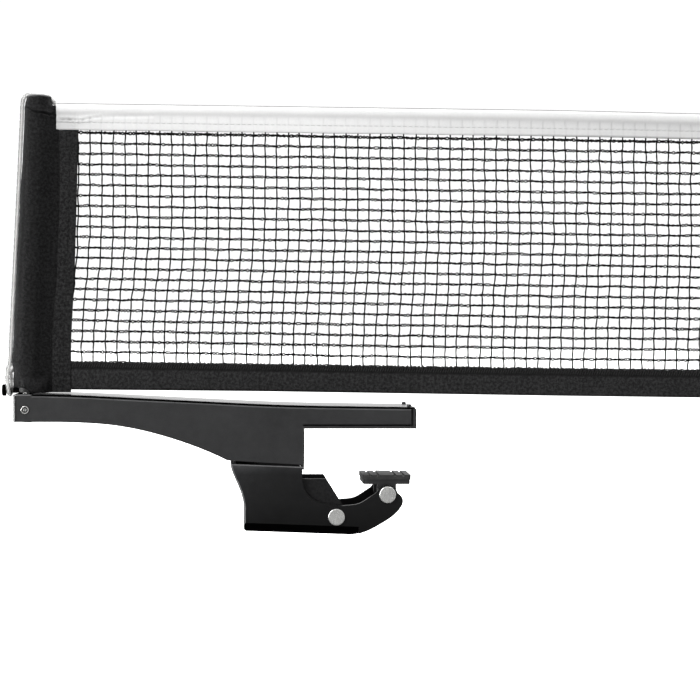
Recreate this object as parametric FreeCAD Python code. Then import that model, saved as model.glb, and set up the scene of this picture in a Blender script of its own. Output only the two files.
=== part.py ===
import FreeCAD
import Part
import math
import os
from FreeCAD import Vector

os.makedirs("parts", exist_ok=True)

# Table tennis net clamp: a spring clip that grips the table top, with the net
# post and the end of the net that it carries.
#
# Frame, in millimetres: +X along the net from the post to the table, +Y away
# from the side that is looked at, +Z up.  The origin is the centre of the
# upper jaw's seat face, which lies on the playing surface, in the net plane.
# Stations below are measured from the back stop (the table's side face) and
# moved to the frame by P(): x = station - seat_centre.

# ---------------------------------------------------------------- dimensions
seat_centre = 25.0          # seat face centre, from the back stop
half_width = 17.0           # half the width of arm and lever
wall = 2.0                  # arm wall
arm_end = -137.1            # outer end of the arm
jaw_tip = 50.45             # end of the upper jaw's cover
face_low = 1.75             # underside of the cover over the seat
face_stop = -0.55           # end of the cover at the back stop
stop_half = 14.6            # half the width of the strap's run behind the back stop
liner = 0.55                # rubber liner on seat, tip and back stop
strap = 0.6                 # steel strap: on the top, round the tip, under the jaw, down the stop
strap_tip = 0.9
strap_rise = 0.42           # top of the strap over the arm's outline
groove = 0.55               # rim of the cover under the arm's outline
groove_deep = 2.4           # depth of the gap between cover and strap
tip_round = 0.7             # strap's bend over the tip, outside
rivet = (49.5, 13.2)        # the two small rivets at the tip: station and +-Y
screw_recess = 2.3          # recess round the socket screws' heads
strap_start = -128.0        # outer end of the strap
end_pad_top = 16.0          # top of the plain pad that the collar stands over

# arm outline (station, height)
arm_top = [(-137.1, 15.9), (-112.0, 15.5), (-82.0, 14.15), (-45.0, 12.3),
           (-10.0, 10.75), (20.0, 10.15), (50.4, 9.75)]
arm_under = [(-36.2, -14.9), (-48.7, -9.35), (-62.2, -4.6), (-75.7, -0.9),
             (-88.0, 1.4), (-100.7, 2.6), (-116.0, 3.1)]
seam_left = (-36.2, -14.9)
seam_right = (-0.55, -16.94)

# lever outline
lever_wall = 2.2
lever_left = [(-34.8, -16.6), (-34.2, -19.4), (-32.3, -24.1), (-30.3, -28.8),
              (-28.9, -33.5), (-28.4, -38.2)]
lever_corner = (-28.4, -47.4)
lever_foot = (-27.6, -48.2)
lever_bottom_end = (22.0, -49.9)
lever_top_right = (-0.8, -17.9)
notch = [(-0.8, -17.9), (-1.05, -21.6), (-0.75, -25.7), (0.3, -29.1),
         (2.5, -31.9), (5.4, -33.95), (8.8, -35.1), (14.0, -35.9), (20.0, -36.0)]
bevel_high = 4.0            # dark band along the lever's lower edge
bevel_in = 1.7

# pivot of the lever, foot pin
pivot = (15.0, -41.5)
pin_r = 2.5
run_gap = 0.05              # radial running clearance
foot_pin = (39.0, -31.0)
grip_gap = 22.0             # distance from seat to foot pad as drawn

# inner frame
ear_out = 14.2
ear_in = 12.0
web_thick = 2.2

# clamp spring
spring_x = -18.6
spring_top = -12.0
spring_bottom = -43.2
spring_r = 5.2              # mean coil radius
spring_wire = 0.9           # wire radius
spring_turns = 7.5

# post
post_foot = (-131.4, 18.5)  # a point on the post's axis
post_lean = 2.2             # degrees, towards the table
post_r = 5.0
post_bore = 4.25
post_top_z = 155.0
cap_r = 6.0
cap_low_z = 150.2
sleeve_top_z = 153.5
cap_top_z = 158.5
spigot_r = 2.75
screw_r = 1.5
collar_left = -138.7
collar_right = -121.0
collar_low = 16.4
collar_top = 19.1
peg_z = 17.5
peg_r = 1.45
peg_head_r = 2.8
peg_head = (-143.9, -142.0)

# net, in its own plane
net_right = 205.0           # finished end of the stretch of net
end_band = 9.0
seam_line = [(-118.25, 153.6), (-118.25, 142.0), (-117.4, 141.8), (-117.0, 132.3), (-117.2, 103.6),
             (-118.6, 68.7), (-120.4, 43.8), (-120.6, 16.5)]
band_right = [(-107.6, 141.8), (-108.2, 112.7), (-109.3, 74.0), (-111.0, 41.4),
              (-111.0, 16.5)]
tape_left = -118.0
tape_top = [(-118.0, 154.6), (123.0, 151.2), (205.0, 149.2)]
tape_low = [(-118.0, 142.05), (123.0, 138.9), (205.0, 137.2)]
hem_top = [(-111.0, 31.0), (123.0, 27.6), (205.0, 26.5)]
hem_low = [(-111.0, 17.7), (-20.0, 16.9), (123.0, 14.7), (205.0, 13.7)]
tape_half = 1.1
mesh_half = 0.5
hem_half = 1.1
band_half = 1.2

# tension cord
cord_r = 0.9
cord_exit = (-117.6, 153.1)
cord_over_right = (-121.0, 157.5)
cord_over_left = (-133.8, 157.8)
cord_knot_top = (-139.6, 29.9)
knot_z = 28.1
knot_x = -140.0
knot_r = 2.05
knot_h = 3.6
loop_x = -140.3


# ------------------------------------------------------------------- helpers
def P(x, z, y=0.0):
    return Vector(x - seat_centre, y, z)


def line(a, b, y=0.0):
    return Part.LineSegment(P(a[0], a[1], y), P(b[0], b[1], y)).toShape()


def curve(points, y=0.0, start=None, end=None):
    c = Part.BSplineCurve()
    pts = [P(a, b, y) for a, b in points]
    if start is not None and end is not None:
        c.interpolate(Points=pts, InitialTangent=Vector(start[0], 0, start[1]),
                      FinalTangent=Vector(end[0], 0, end[1]))
    else:
        c.interpolate(Points=pts)
    return c.toShape()


def plate_of(edges, half=None, y0=None, y1=None):
    """A profile in the XZ plane (edges drawn at y 0), given its width in Y."""
    if half is not None:
        y0, y1 = -half, half
    wire = Part.Wire(Part.__sortEdges__(edges))
    face = Part.Face(wire)
    face.translate(Vector(0, y0, 0))
    return face.extrude(Vector(0, y1 - y0, 0))


def poly(points, half=None, y0=None, y1=None):
    pts = list(points)
    edges = [line(pts[i], pts[(i + 1) % len(pts)]) for i in range(len(pts))]
    return plate_of(edges, half, y0, y1)


def box(x0, x1, y0, y1, z0, z1):
    b = Part.makeBox(x1 - x0, y1 - y0, z1 - z0)
    b.translate(Vector(x0 - seat_centre, y0, z0))
    return b


def rod_y(x, z, r, y0, y1):
    return Part.makeCylinder(r, y1 - y0, P(x, z, y0), Vector(0, 1, 0))


def rod_z(x, y, r, z0, z1):
    return Part.makeCylinder(r, z1 - z0, P(x, z0, y), Vector(0, 0, 1))


def rod_x(x0, x1, z, r, y=0.0):
    return Part.makeCylinder(r, x1 - x0, P(x0, z, y), Vector(1, 0, 0))


lean = math.radians(post_lean)
axis = Vector(math.sin(lean), 0, math.cos(lean))


def on_post(z):
    """The point of the post's axis at height z."""
    k = (z - post_foot[1]) / axis.z
    return P(post_foot[0], post_foot[1]) + axis * k


def post_rod(z0, z1, r):
    a = on_post(z0)
    return Part.makeCylinder(r, (z1 - z0) / axis.z, a, axis)


def rounded(shape, radius, want):
    edges = [e for e in shape.Edges if want(e)]
    return shape.makeFillet(radius, edges)


def ends(e):
    return [v.Point for v in e.Vertexes]


def clean(shape):
    s = shape.removeSplitter()
    return s


def at(points, x):
    """Height of a polyline (station, height) at a station."""
    for (xa, za), (xb, zb) in zip(points, points[1:]):
        lo, hi = min(xa, xb), max(xa, xb)
        if lo <= x <= hi:
            return za + (zb - za) * (x - xa) / (xb - xa)
    raise ValueError(x)


nodes = {}


def keep(name, shape, solids=1):
    shape = shape if isinstance(shape, Part.Shape) else Part.makeCompound(shape)
    n = len(shape.Solids)
    ok = shape.isValid()
    if n != solids or not ok:
        print("CHECK", name, "solids", n, "expected", solids, "valid", ok)
    if solids == 1 and n == 1:
        shape = shape.Solids[0]
    nodes[name] = shape


# ----------------------------------------------------------------- arm shell
def lowered(points, d):
    return [(x, z - d) for x, z in points]


def follow(points, d, start, end):
    """The arm's top line, lowered by d, with its first and last station moved."""
    pts = lowered(points, d)
    pts[0] = (start, pts[0][1])
    pts[-1] = (end, pts[-1][1])
    return pts


def from_strap(d, start, end):
    """The arm's top line, lowered by d, from the strap's outer end on."""
    pts = lowered(arm_top, d)
    return ([(start, at(arm_top, start) - d)] + [p for p in pts[1:-1] if p[0] > start + 2]
            + [(end, pts[-1][1])])


rim = follow(arm_top, groove, arm_end, jaw_tip)
under_edge = curve(arm_under)
cover = plate_of([
    curve(rim),
    line(rim[-1], (jaw_tip, face_low)),
    line((jaw_tip, face_low), (face_stop, face_low)),
    line((face_stop, face_low), seam_right),
    line(seam_right, seam_left),
    under_edge,
    line((-116.0, 3.1), (arm_end, 3.1)),
    line((arm_end, 3.1), rim[0]),
], half_width)


def arm_corner_edge(e):
    p = ends(e)
    if len(p) != 2 or abs(abs(p[0].y) - half_width) > 1e-3:
        return False
    return all(abs(q.x - (arm_end - seat_centre)) < 1e-3 for q in p) and abs(p[0].z - p[1].z) > 5


def flat_in_y(e):
    return e.BoundBox.YLength < 1e-2 and abs(abs(e.BoundBox.YMin) - half_width) < 1e-2


cover = rounded(cover, 1.8, arm_corner_edge)
cover = rounded(cover, 0.65, lambda e: flat_in_y(e) and (
    (e.BoundBox.ZMin > 8.5 and e.BoundBox.XLength > 100)
    or (e.BoundBox.XMin > jaw_tip - seat_centre - 1e-3)
    or (abs(e.BoundBox.ZMax - face_low) < 1e-3 and e.BoundBox.XLength > 40)))
# raised core that carries the strap
core_half = half_width - groove_deep
core_top = from_strap(strap - strap_rise, strap_start + 0.2, jaw_tip + 0.75)
core = plate_of([
    curve(core_top),
    line(core_top[-1], (jaw_tip + 0.75, 5.0)),
    line((jaw_tip + 0.75, 5.0), (core_top[0][0], 5.0)),
    line((core_top[0][0], 5.0), core_top[0]),
], core_half)
tip_core = box(jaw_tip - 0.1, jaw_tip + 0.75, -core_half, core_half, 1.15, 9.0)
# plain pad at the outer end, round the post's opening
pad_edge = strap_start - 0.3
end_pad = box(arm_end, pad_edge, -half_width, half_width, 8.0, end_pad_top)
end_pad = rounded(end_pad, 1.8, lambda e: e.BoundBox.ZLength > 2 and e.BoundBox.XMax < arm_end - seat_centre + 1e-3)
end_pad = rounded(end_pad, 0.65, lambda e: flat_in_y(e) and e.BoundBox.ZMin > end_pad_top - 1e-3)
outer = cover.fuse([core, tip_core, end_pad])

inner_half = half_width - wall
cavity_top = follow(arm_top, groove + wall, arm_end + 1.8, jaw_tip - wall)
hollow = plate_of([
    curve(cavity_top),
    line(cavity_top[-1], (jaw_tip - wall, -30)),
    line((jaw_tip - wall, -30), (arm_end + 1.8, -30)),
    line((arm_end + 1.8, -30), cavity_top[0]),
], inner_half)
arm = outer.cut(hollow)
# back wall behind the back stop
arm = arm.fuse([box(-3.75, -liner - strap, -inner_half, inner_half, -16.6, 1.15)])
# cross ribs of the long arm, and one long rib
ribs = []
roof = groove + wall - 0.3
for x in (-116.0, -99.0, -82.0, -65.0, -48.0):
    low = at(list(reversed(arm_under)), x) + 2.6
    ribs.append(box(x - 0.8, x + 0.8, -inner_half, inner_half, low, at(arm_top, x) - roof))
long_rib = poly([(-116.0, 7.0), (-48.0, 0.6), (-48.0, at(arm_top, -48.0) - roof),
                 (-116.0, at(arm_top, -116.0) - roof)], 0.8)
web_low = liner + strap
web_top = web_low + web_thick
for x in (8.0, 30.0):
    ribs.append(box(x - 0.8, x + 0.8, -inner_half, inner_half, web_top, at(arm_top, x) - roof))
bosses = [rod_z(-32.0, y, 3.2, web_top, at(arm_top, -32.0) - roof) for y in (-7.0, 7.0)]
arm = arm.fuse(ribs + [long_rib] + bosses)
# screw pilot holes of the bosses, the opening for the post, side screw holes
for y in (-7.0, 7.0):
    arm = arm.cut(rod_z(-32.0, y, 1.5, web_top - 1, 8.6))
arm = arm.cut(post_rod(11.0, 18.0, spigot_r + 0.35))
side_screw = (-131.3, 8.8)
for s in (-1, 1):
    y0, y1 = sorted((s * 14.5, s * 17.5))
    arm = arm.cut(rod_y(side_screw[0], side_screw[1], 1.1, y0, y1))
    y0, y1 = sorted((s * 16.2, s * 17.5))
    arm = arm.cut(rod_y(side_screw[0], side_screw[1], screw_recess, y0, y1))
for s in (-1, 1):
    arm = arm.cut(rod_z(rivet[0], s * rivet[1], 0.7, 7.0, 12.0))
keep("arm_shell", clean(arm))

# ----------------------------------------------------------------- arm strap
tip_in = jaw_tip + 0.75
tip_out = tip_in + strap_tip
s_top = from_strap(-strap_rise, strap_start, tip_out - tip_round)
s_low = from_strap(strap - strap_rise, strap_start, jaw_tip + 0.4)
z_end = s_top[-1][1]
tip_bend = Part.Arc(P(s_top[-1][0], z_end),
                    P(tip_out - tip_round * (1 - math.sqrt(0.5)), z_end - tip_round * (1 - math.sqrt(0.5))),
                    P(tip_out, z_end - tip_round)).toShape()
strap_shape = plate_of([
    curve(s_top), tip_bend,
    line((tip_out, z_end - tip_round), (tip_out, liner)),
    line((tip_out, liner), (-liner, liner)),
    line((-liner, liner), (-liner, -19.0)),
    line((-liner, -19.0), (-liner - strap, -19.0)),
    line((-liner - strap, -19.0), (-liner - strap, web_low)),
    line((-liner - strap, web_low), (tip_in, web_low)),
    line((tip_in, web_low), (tip_in, s_low[-1][1] - 0.3)),
    line((tip_in, s_low[-1][1] - 0.3), s_low[-1]),
    curve(s_low),
    line(s_low[0], s_top[0]),
], half_width)
strap_shape = rounded(strap_shape, 0.25, lambda e: flat_in_y(e) and (
    (e.BoundBox.ZMin > s_top[-1][1] - 1e-3 and e.BoundBox.XLength > 100)))
# behind the back stop the strap lies between the cover's cheeks, and below the
# seam it is a tongue that stays inside the lever's cheeks
for s in (-1, 1):
    y0, y1 = sorted((s * stop_half, s * (half_width + 1)))
    strap_shape = strap_shape.cut(box(-3.0, -liner, y0, y1, -20.0, 2.0))
    y0, y1 = sorted((s * ear_out, s * (half_width + 1)))
    strap_shape = strap_shape.cut(box(-3.0, 1.0, y0, y1, -20.0, -16.3))
strap_shape = strap_shape.cut(post_rod(11.0, 18.0, spigot_r + 0.35))
for s in (-1, 1):
    strap_shape = strap_shape.cut(rod_z(rivet[0], s * rivet[1], 0.7, 8.0, 12.0))
keep("arm_strap", clean(strap_shape))

# rivets that hold the strap at the jaw's tip
top_at = at(s_top, rivet[0])
rivets = []
for s in (-1, 1):
    y = s * rivet[1]
    r_shank = rod_z(rivet[0], y, 0.7, 8.4, top_at + 0.3)
    r_head = rod_z(rivet[0], y, 1.0, top_at + 0.02, top_at + 1.15)
    r_head = rounded(r_head, 0.6, lambda e: e.BoundBox.ZMin > top_at + 1.1)
    rivets.append(clean(r_shank.fuse(r_head)))
keep("strap_rivets", rivets, 2)

# --------------------------------------------------------------- inner frame
web = box(-40.0, jaw_tip - wall - 0.1, -14.9, 14.9, web_low, web_top)


def ear(y0, y1):
    px, pz = pivot
    r = 5.6
    a0, a1 = math.radians(35), math.radians(-105)
    start = (px + r * math.cos(a0), pz + r * math.sin(a0))
    stop = (px + r * math.cos(a1), pz + r * math.sin(a1))
    mid = (px + r * math.cos((a0 + a1) / 2), pz + r * math.sin((a0 + a1) / 2))
    arc = Part.Arc(P(*start), P(*mid), P(*stop)).toShape()
    pts = [(-22.0, web_low), (-4.0, web_low), (-4.0, -16.9), (-1.9, -16.9), (-1.9, -20.6),
           (-0.8, -23.8), (10.5, -23.8)]
    edges = [line(pts[i], pts[i + 1]) for i in range(len(pts) - 1)]
    edges.append(line(pts[-1], start))
    edges.append(arc)
    tail = [stop, (-4.0, -44.2), (-14.0, -38.0), (-22.0, -24.0), (-22.0, web_low)]
    edges += [line(tail[i], tail[i + 1]) for i in range(len(tail) - 1)]
    return plate_of(edges, y0=y0, y1=y1)


frame = web.fuse([ear(ear_in, ear_out), ear(-ear_out, -ear_in)])
frame = frame.cut(rod_y(pivot[0], pivot[1], 3.6, -16, 16))
for y in (-7.0, 7.0):
    frame = frame.cut(rod_z(-32.0, y, 1.6, 0, 5))
frame = frame.cut(rod_z(spring_x, 0, 3.0, 0, 5))
keep("inner_frame", clean(frame))

# frame screws, from below into the arm's bosses
fs = []
for y in (-7.0, 7.0):
    screw = rod_z(-32.0, y, 1.5, web_low, 8.4)
    head = rod_z(-32.0, y, 2.7, web_low - 1.9, web_low)
    head = rounded(head, 0.5, lambda e: abs(e.BoundBox.ZMax - (web_low - 1.9)) < 1e-3)
    head = head.cut(rod_z(-32.0, y, 1.2, web_low - 2.0, web_low - 0.9))
    fs.append(screw.fuse(head).removeSplitter())
keep("frame_screws", fs, 2)

# ------------------------------------------------- jaw liner, bonded to strap
pad_tip = tip_out + 0.5
lining = box(-liner, pad_tip, -half_width, half_width, 0.0, liner)
lining = lining.fuse([box(tip_out, pad_tip, -half_width, half_width, 0.0, z_end - 0.95),
                      box(-liner, 0.0, -half_width, half_width, -16.3, liner),
                      box(-liner, 0.0, -ear_out, ear_out, -19.6, -16.3)]).removeSplitter()
lining = rounded(lining, 0.3, lambda e: e.BoundBox.XMin > pad_tip - seat_centre - 1e-3
                 and e.BoundBox.YLength > 30 and e.BoundBox.ZMin > 3)
keep("jaw_liner", clean(lining))

# --------------------------------------------------------------- post socket
socket = box(arm_end + 1.9, -122.0, -14.9, 14.9, 3.3, 13.05)
socket = socket.cut(post_rod(5.4, 16.0, spigot_r + run_gap))
socket = socket.cut(post_rod(2.0, 6.0, screw_r + 0.2))
# weight-saving pockets each side of the bore
socket = socket.cut(box(-126.2, -123.4, -13.0, 13.0, 5.0, 15.0))
for s in (-1, 1):
    y0, y1 = sorted((s * 7.6, s * 15.5))
    socket = socket.cut(rod_y(side_screw[0], side_screw[1], 1.1, y0, y1))
keep("post_socket", clean(socket))

ss = []
for s in (-1, 1):
    y0, y1 = sorted((s * 8.0, s * 16.2))
    shank = rod_y(side_screw[0], side_screw[1], 1.1, y0, y1)
    y0, y1 = sorted((s * 16.2, s * 17.25))
    head = rod_y(side_screw[0], side_screw[1], 1.9, y0, y1)
    crown = s * 17.25
    head = rounded(head, 0.22, lambda e: abs(e.BoundBox.YMin - crown) < 1e-3 and abs(e.BoundBox.YMax - crown) < 1e-3)
    y0, y1 = sorted((s * 16.6, s * 17.6))
    ring = rod_y(side_screw[0], side_screw[1], 1.35, y0, y1)
    y0, y1 = sorted((s * 16.4, s * 17.1))
    hub = rod_y(side_screw[0], side_screw[1], 0.8, y0, y1)
    head = head.cut(ring).fuse(hub)
    slot = box(side_screw[0] - 0.15, side_screw[0] + 0.15, min(s * 16.8, s * 17.6), max(s * 16.8, s * 17.6),
               side_screw[1] - 0.9, side_screw[1] + 0.9)
    head = head.cut(slot)
    ss.append(shank.fuse(head).removeSplitter())
keep("socket_screws", ss, 2)

# ------------------------------------------------------- height screw + ring
hs = post_rod(3.2, 15.6, screw_r)
head = post_rod(2.0, 3.2, 2.3)
head = rounded(head, 0.4, lambda e: e.Length > 12 and e.BoundBox.ZMax < 2.3)
hs = hs.fuse(head)
hs = hs.cut(post_rod(5.55, 6.2, 2.0).cut(post_rod(5.0, 7.0, 1.2)))
hs = hs.cut(post_rod(0.8, 2.9, 1.1))
keep("height_screw", clean(hs))
ring = post_rod(5.6, 6.15, 2.5).cut(post_rod(5.0, 7.0, 1.2))
keep("screw_ring", ring)

# ---------------------------------------------------------------------- post
spigot = post_rod(7.4, collar_top + 1, spigot_r).fuse(post_rod(collar_top + 0.25, 48.0, post_bore))
spigot = spigot.cut(post_rod(6.0, 17.2, screw_r + run_gap))
keep("post_spigot", clean(spigot))

tube = post_rod(collar_top + 0.25, post_top_z, post_r).cut(post_rod(collar_top - 5, post_top_z + 5, post_bore))
keep("post_tube", tube)

cx = (collar_left + collar_right) / 2
ch = 6.6
collar = box(collar_left + ch, collar_right - ch, -ch, ch, collar_low, collar_top)
collar = collar.fuse([rod_z(collar_left + ch, 0, ch, collar_low, collar_top),
                      rod_z(collar_right - ch, 0, ch, collar_low, collar_top)]).removeSplitter()
collar = rounded(collar, 0.9, lambda e: e.BoundBox.ZMin > collar_top - 1e-3)
collar = rounded(collar, 0.4, lambda e: e.BoundBox.ZMax < collar_low + 1e-3)
peg = rod_x(peg_head[1], collar_left + 2.0, peg_z, peg_r)
peg_end = rod_x(peg_head[0], peg_head[1], peg_z, peg_head_r)
peg_end = rounded(peg_end, 0.8, lambda e: e.BoundBox.XMax < peg_head[0] - seat_centre + 1e-3)
peg_end = rounded(peg_end, 0.3, lambda e: abs(e.BoundBox.XMin - (peg_head[1] - seat_centre)) < 1e-3
                  and e.BoundBox.XLength < 1e-3)
collar = collar.fuse([peg, peg_end])
collar = collar.cut(post_rod(collar_low - 2, collar_top + 2, spigot_r))
keep("post_collar", clean(collar))


# ---------------------------------------------------------------------- cord
def route(points, radii):
    """Straight runs joined by tangent arcs, through 3-D points."""
    edges = []
    here = points[0]
    for i in range(1, len(points) - 1):
        a, b, c = points[i - 1], points[i], points[i + 1]
        u = (a - b).normalize()
        v = (c - b).normalize()
        angle = u.getAngle(v)
        r = radii[i - 1]
        t = r / math.tan(angle / 2)
        p, q = b + u * t, b + v * t
        half = (u + v).normalize()
        m = b + half * (r / math.sin(angle / 2) - r)
        edges.append(Part.LineSegment(here, p).toShape())
        edges.append(Part.Arc(p, m, q).toShape())
        here = q
        print("cord arc at point", i, "radius %.2f" % r, "turn %.1f" % (180 - math.degrees(angle)),
              "runs %.1f %.1f" % (a.distanceToPoint(b), b.distanceToPoint(c)))
    edges.append(Part.LineSegment(here, points[-1]).toShape())
    return Part.Wire(edges)


def hose(wire, r):
    e = wire.Edges[0]
    start = e.valueAt(e.FirstParameter)
    way = e.tangentAt(e.FirstParameter)
    section = Part.Wire([Part.makeCircle(r, start, way)])
    tube = wire.makePipeShell([section], True, False)
    print("tube volume %.2f, section times length %.2f, length %.2f"
          % (tube.Volume, math.pi * r * r * wire.Length, wire.Length))
    return tube


cord_points = [P(*cord_exit), P(*cord_over_right), P(*cord_over_left), P(*cord_knot_top)]
cord_radii = [2.2, 3.2]
cord_wire = route(cord_points, cord_radii)
cord = hose(cord_wire, cord_r)
cord_way = hose(cord_wire, cord_r + 0.25)

knot = rod_z(knot_x, 0, knot_r, knot_z - knot_h / 2, knot_z + knot_h / 2)
knot = rounded(knot, 1.1, lambda e: e.BoundBox.ZLength < 1e-3)
knot_up = knot_z + knot_h / 2
cord = cord.cut(knot)

# loop round the peg: two legs and the arc under the shaft, in one plane
loop_r = peg_r + cord_r + 0.1
leg_top = knot_z - 0.6
leg_y = 1.0


def tangent_point(y, z, r):
    """Tangent point, on the side of y, of a line from (y, z) to the circle r about (0, peg_z)."""
    d = math.hypot(y, z - peg_z)
    base = math.atan2(z - peg_z, y)
    off = math.acos(r / d)
    best = None
    for sgn in (-1, 1):
        a = base + sgn * off
        p = (r * math.cos(a), peg_z + r * math.sin(a))
        if best is None or (p[0] * (1 if y > 0 else -1)) > (best[0] * (1 if y > 0 else -1)):
            best = p
    return best


ty, tz = tangent_point(leg_y, leg_top, loop_r)
lx = loop_x - seat_centre
loop_wire = Part.Wire([
    Part.LineSegment(Vector(lx, -leg_y, leg_top), Vector(lx, -ty, tz)).toShape(),
    Part.Arc(Vector(lx, -ty, tz), Vector(lx, 0, peg_z - loop_r), Vector(lx, ty, tz)).toShape(),
    Part.LineSegment(Vector(lx, ty, tz), Vector(lx, leg_y, leg_top)).toShape(),
])
loop = hose(loop_wire, cord_r).cut(knot)
keep("net_cord", cord)
keep("cord_knot", knot)
keep("cord_loop", loop)

# post cap, with the groove that the cord lies in
cap_low = on_post(cap_low_z)
cap = post_rod(cap_low_z, cap_top_z, cap_r)
cap = rounded(cap, 1.5, lambda e: e.Length > 20 and e.BoundBox.ZMin > cap_top_z - 1.5)
cap = cap.cut(post_rod(cap_low_z - 2, post_top_z, post_r + 0.02))
cap = cap.cut(cord_way)
keep("post_cap", clean(cap))

# ---------------------------------------------------------------- net sleeve
sleeve_r = 6.65
sleeve_hole = post_r + 0.15


def leaning_plate(z0, z1, half_thick, reach):
    """A teardrop section (a round about the axis and a tail to +X), drawn along the axis."""
    r = sleeve_r
    tip = half_thick
    # tangent from (reach, tip) to the round
    d = math.hypot(reach, tip)
    a = math.atan2(tip, reach) + math.acos(r / d)
    tx, tyy = r * math.cos(a), r * math.sin(a)
    base = on_post(z0)
    ex = Vector(math.cos(lean), 0, -math.sin(lean))
    ey = Vector(0, 1, 0)

    def q(x, y):
        return base + ex * x + ey * y
    edges = [
        Part.LineSegment(q(reach, -tip), q(reach, tip)).toShape(),
        Part.LineSegment(q(reach, tip), q(tx, tyy)).toShape(),
        Part.Arc(q(tx, tyy), q(-r, 0), q(tx, -tyy)).toShape(),
        Part.LineSegment(q(tx, -tyy), q(reach, -tip)).toShape(),
    ]
    face = Part.Face(Part.Wire(edges))
    return face.extrude(axis * ((z1 - z0) / axis.z))


sleeve = leaning_plate(collar_top + 0.6, sleeve_top_z, 0.9, 15.0)
far = [(x, z) for x, z in seam_line]
trim = poly([(far[0][0] - 0.1, 170.0)] + far + [(far[-1][0], 0.0), (-60.0, 0.0), (-60.0, 170.0)], 20.0)
sleeve = sleeve.cut(trim)
sleeve = sleeve.cut(post_rod(10.0, 170.0, sleeve_hole))
sleeve = sleeve.cut(post_rod(cap_low_z - 0.1, 170.0, cap_r + 0.05))
sleeve = sleeve.cut(hose(cord_wire, cord_r + 0.1))
keep("net_side_sleeve", clean(sleeve))

band = poly([(x, z) for x, z in seam_line[2:]] + list(reversed(band_right)), band_half)
band = rounded(band, 0.3, lambda e: e.BoundBox.YLength < 1e-3 and e.BoundBox.ZLength > 20
               and e.BoundBox.XMax > band_right[-1][0] - seat_centre - 0.5)
keep("net_side_band", band)

# ------------------------------------------------------------- net and tapes
x_mesh_end = net_right - end_band


def cut_at(points, x):
    return (x, at(points, x))


tape = poly(tape_top + list(reversed(tape_low)), tape_half)
tape = tape.cut(hose(cord_wire, cord_r + 0.05))
keep("net_tape", tape)

hem = poly([cut_at(hem_top, -111.0)] + [p for p in hem_top if -111 < p[0] < x_mesh_end]
           + [cut_at(hem_top, x_mesh_end), cut_at(hem_low, x_mesh_end)]
           + [p for p in reversed(hem_low) if -111 < p[0] < x_mesh_end]
           + [cut_at(hem_low, -111.0)], hem_half)
keep("net_bottom_band", hem)

left = [p for p in band_right]
mesh = poly([(left[0][0], at(tape_low, left[0][0]))]
            + [p for p in tape_low if left[0][0] < p[0] < x_mesh_end]
            + [cut_at(tape_low, x_mesh_end), cut_at(hem_top, x_mesh_end)]
            + [p for p in reversed(hem_top) if -111 < p[0] < x_mesh_end]
            + [(-111.0, at(hem_top, -111.0)), left[3], left[2], left[1]], mesh_half)
keep("net_mesh", mesh)

# finished end of the net: a doubled band, sewn under the tape
endb = poly([cut_at(tape_low, x_mesh_end), cut_at(tape_low, net_right),
             cut_at(hem_low, net_right), cut_at(hem_low, x_mesh_end)], band_half)
keep("net_end_band", endb)

# --------------------------------------------------------------- lever shell
px, pz = foot_pin
bump = 4.8
notch_edge = curve(notch, start=(0.0, -1.0), end=(1.0, 0.12))
tip_a = (px - bump * math.cos(math.radians(30)), pz + bump * math.sin(math.radians(30)))
tip_b = (px, pz + bump)
tip_c = (px + bump * math.cos(math.radians(10)), pz + bump * math.sin(math.radians(10)))
rise = curve([(20.0, -36.0), (26.0, -35.0), (31.0, -32.0), tip_a], start=(1.0, 0.05), end=(0.5, 0.86))
tip_arc = Part.Arc(P(*tip_a), P(*tip_b), P(*tip_c)).toShape()
nose = curve([tip_c, (46.3, -34.0), (43.6, -39.0), (36.0, -44.6), (28.0, -48.6), lever_bottom_end])
left_edge = curve(lever_left)
lever_outer = plate_of([
    line(lever_left[0], lever_top_right),
    notch_edge, rise, tip_arc, nose,
    line(lever_bottom_end, lever_foot),
    line(lever_foot, lever_corner),
    line(lever_corner, lever_left[-1]),
    left_edge,
], half_width)

lw = lever_wall
in_half = half_width - lw
inner_left = [(x + lw * 1.02, z) for x, z in lever_left]
bottom_slope = (lever_bottom_end[1] - lever_foot[1]) / (lever_bottom_end[0] - lever_foot[0])
floor_l = (inner_left[-1][0], lever_foot[1] + lw + bottom_slope * 1.4)
floor_r = (22.0, lever_bottom_end[1] + lw)
well = plate_of([
    curve(inner_left),
    line(inner_left[0], (inner_left[0][0], 0.0)),
    line((inner_left[0][0], 0.0), (60.0, 0.0)),
    line((60.0, 0.0), (60.0, -33.0)),
    line((60.0, -33.0), (44.1, -34.0)),
    curve([(44.1, -34.0), (41.8, -37.6), (34.8, -42.6), (27.4, -46.4), floor_r]),
    line(floor_r, floor_l),
    line(floor_l, inner_left[-1]),
], in_half)
lever = lever_outer.cut(well)

# bevel along both lower edges
d = Vector(lever_bottom_end[0] - lever_foot[0], 0, lever_bottom_end[1] - lever_foot[1])
d.normalize()
nrm = Vector(-d.z, 0, d.x)
start = P(*lever_foot) - d * 3 - nrm * 0.02
for s in (-1, 1):
    a = start + Vector(0, s * (half_width + 0.05), 0)
    tri = Part.Face(Part.Wire(Part.makePolygon([
        a + nrm * (bevel_high + 0.1), a - nrm * 0.5,
        a - nrm * 0.5 - Vector(0, s * (bevel_in + 0.25), 0), a - Vector(0, s * (bevel_in + 0.05), 0),
        a + nrm * (bevel_high + 0.1)])))
    lever = lever.cut(tri.extrude(d * 56.0))


def lever_round_edge(e):
    b = e.BoundBox
    if b.YLength > 1e-3 or abs(abs(b.YMin) - half_width) > 1e-3:
        return False
    # left edges, above the bevel
    return b.XMax < -28.2 - seat_centre and b.ZLength > 5


lever = rounded(lever, 0.9, lever_round_edge)


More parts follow.
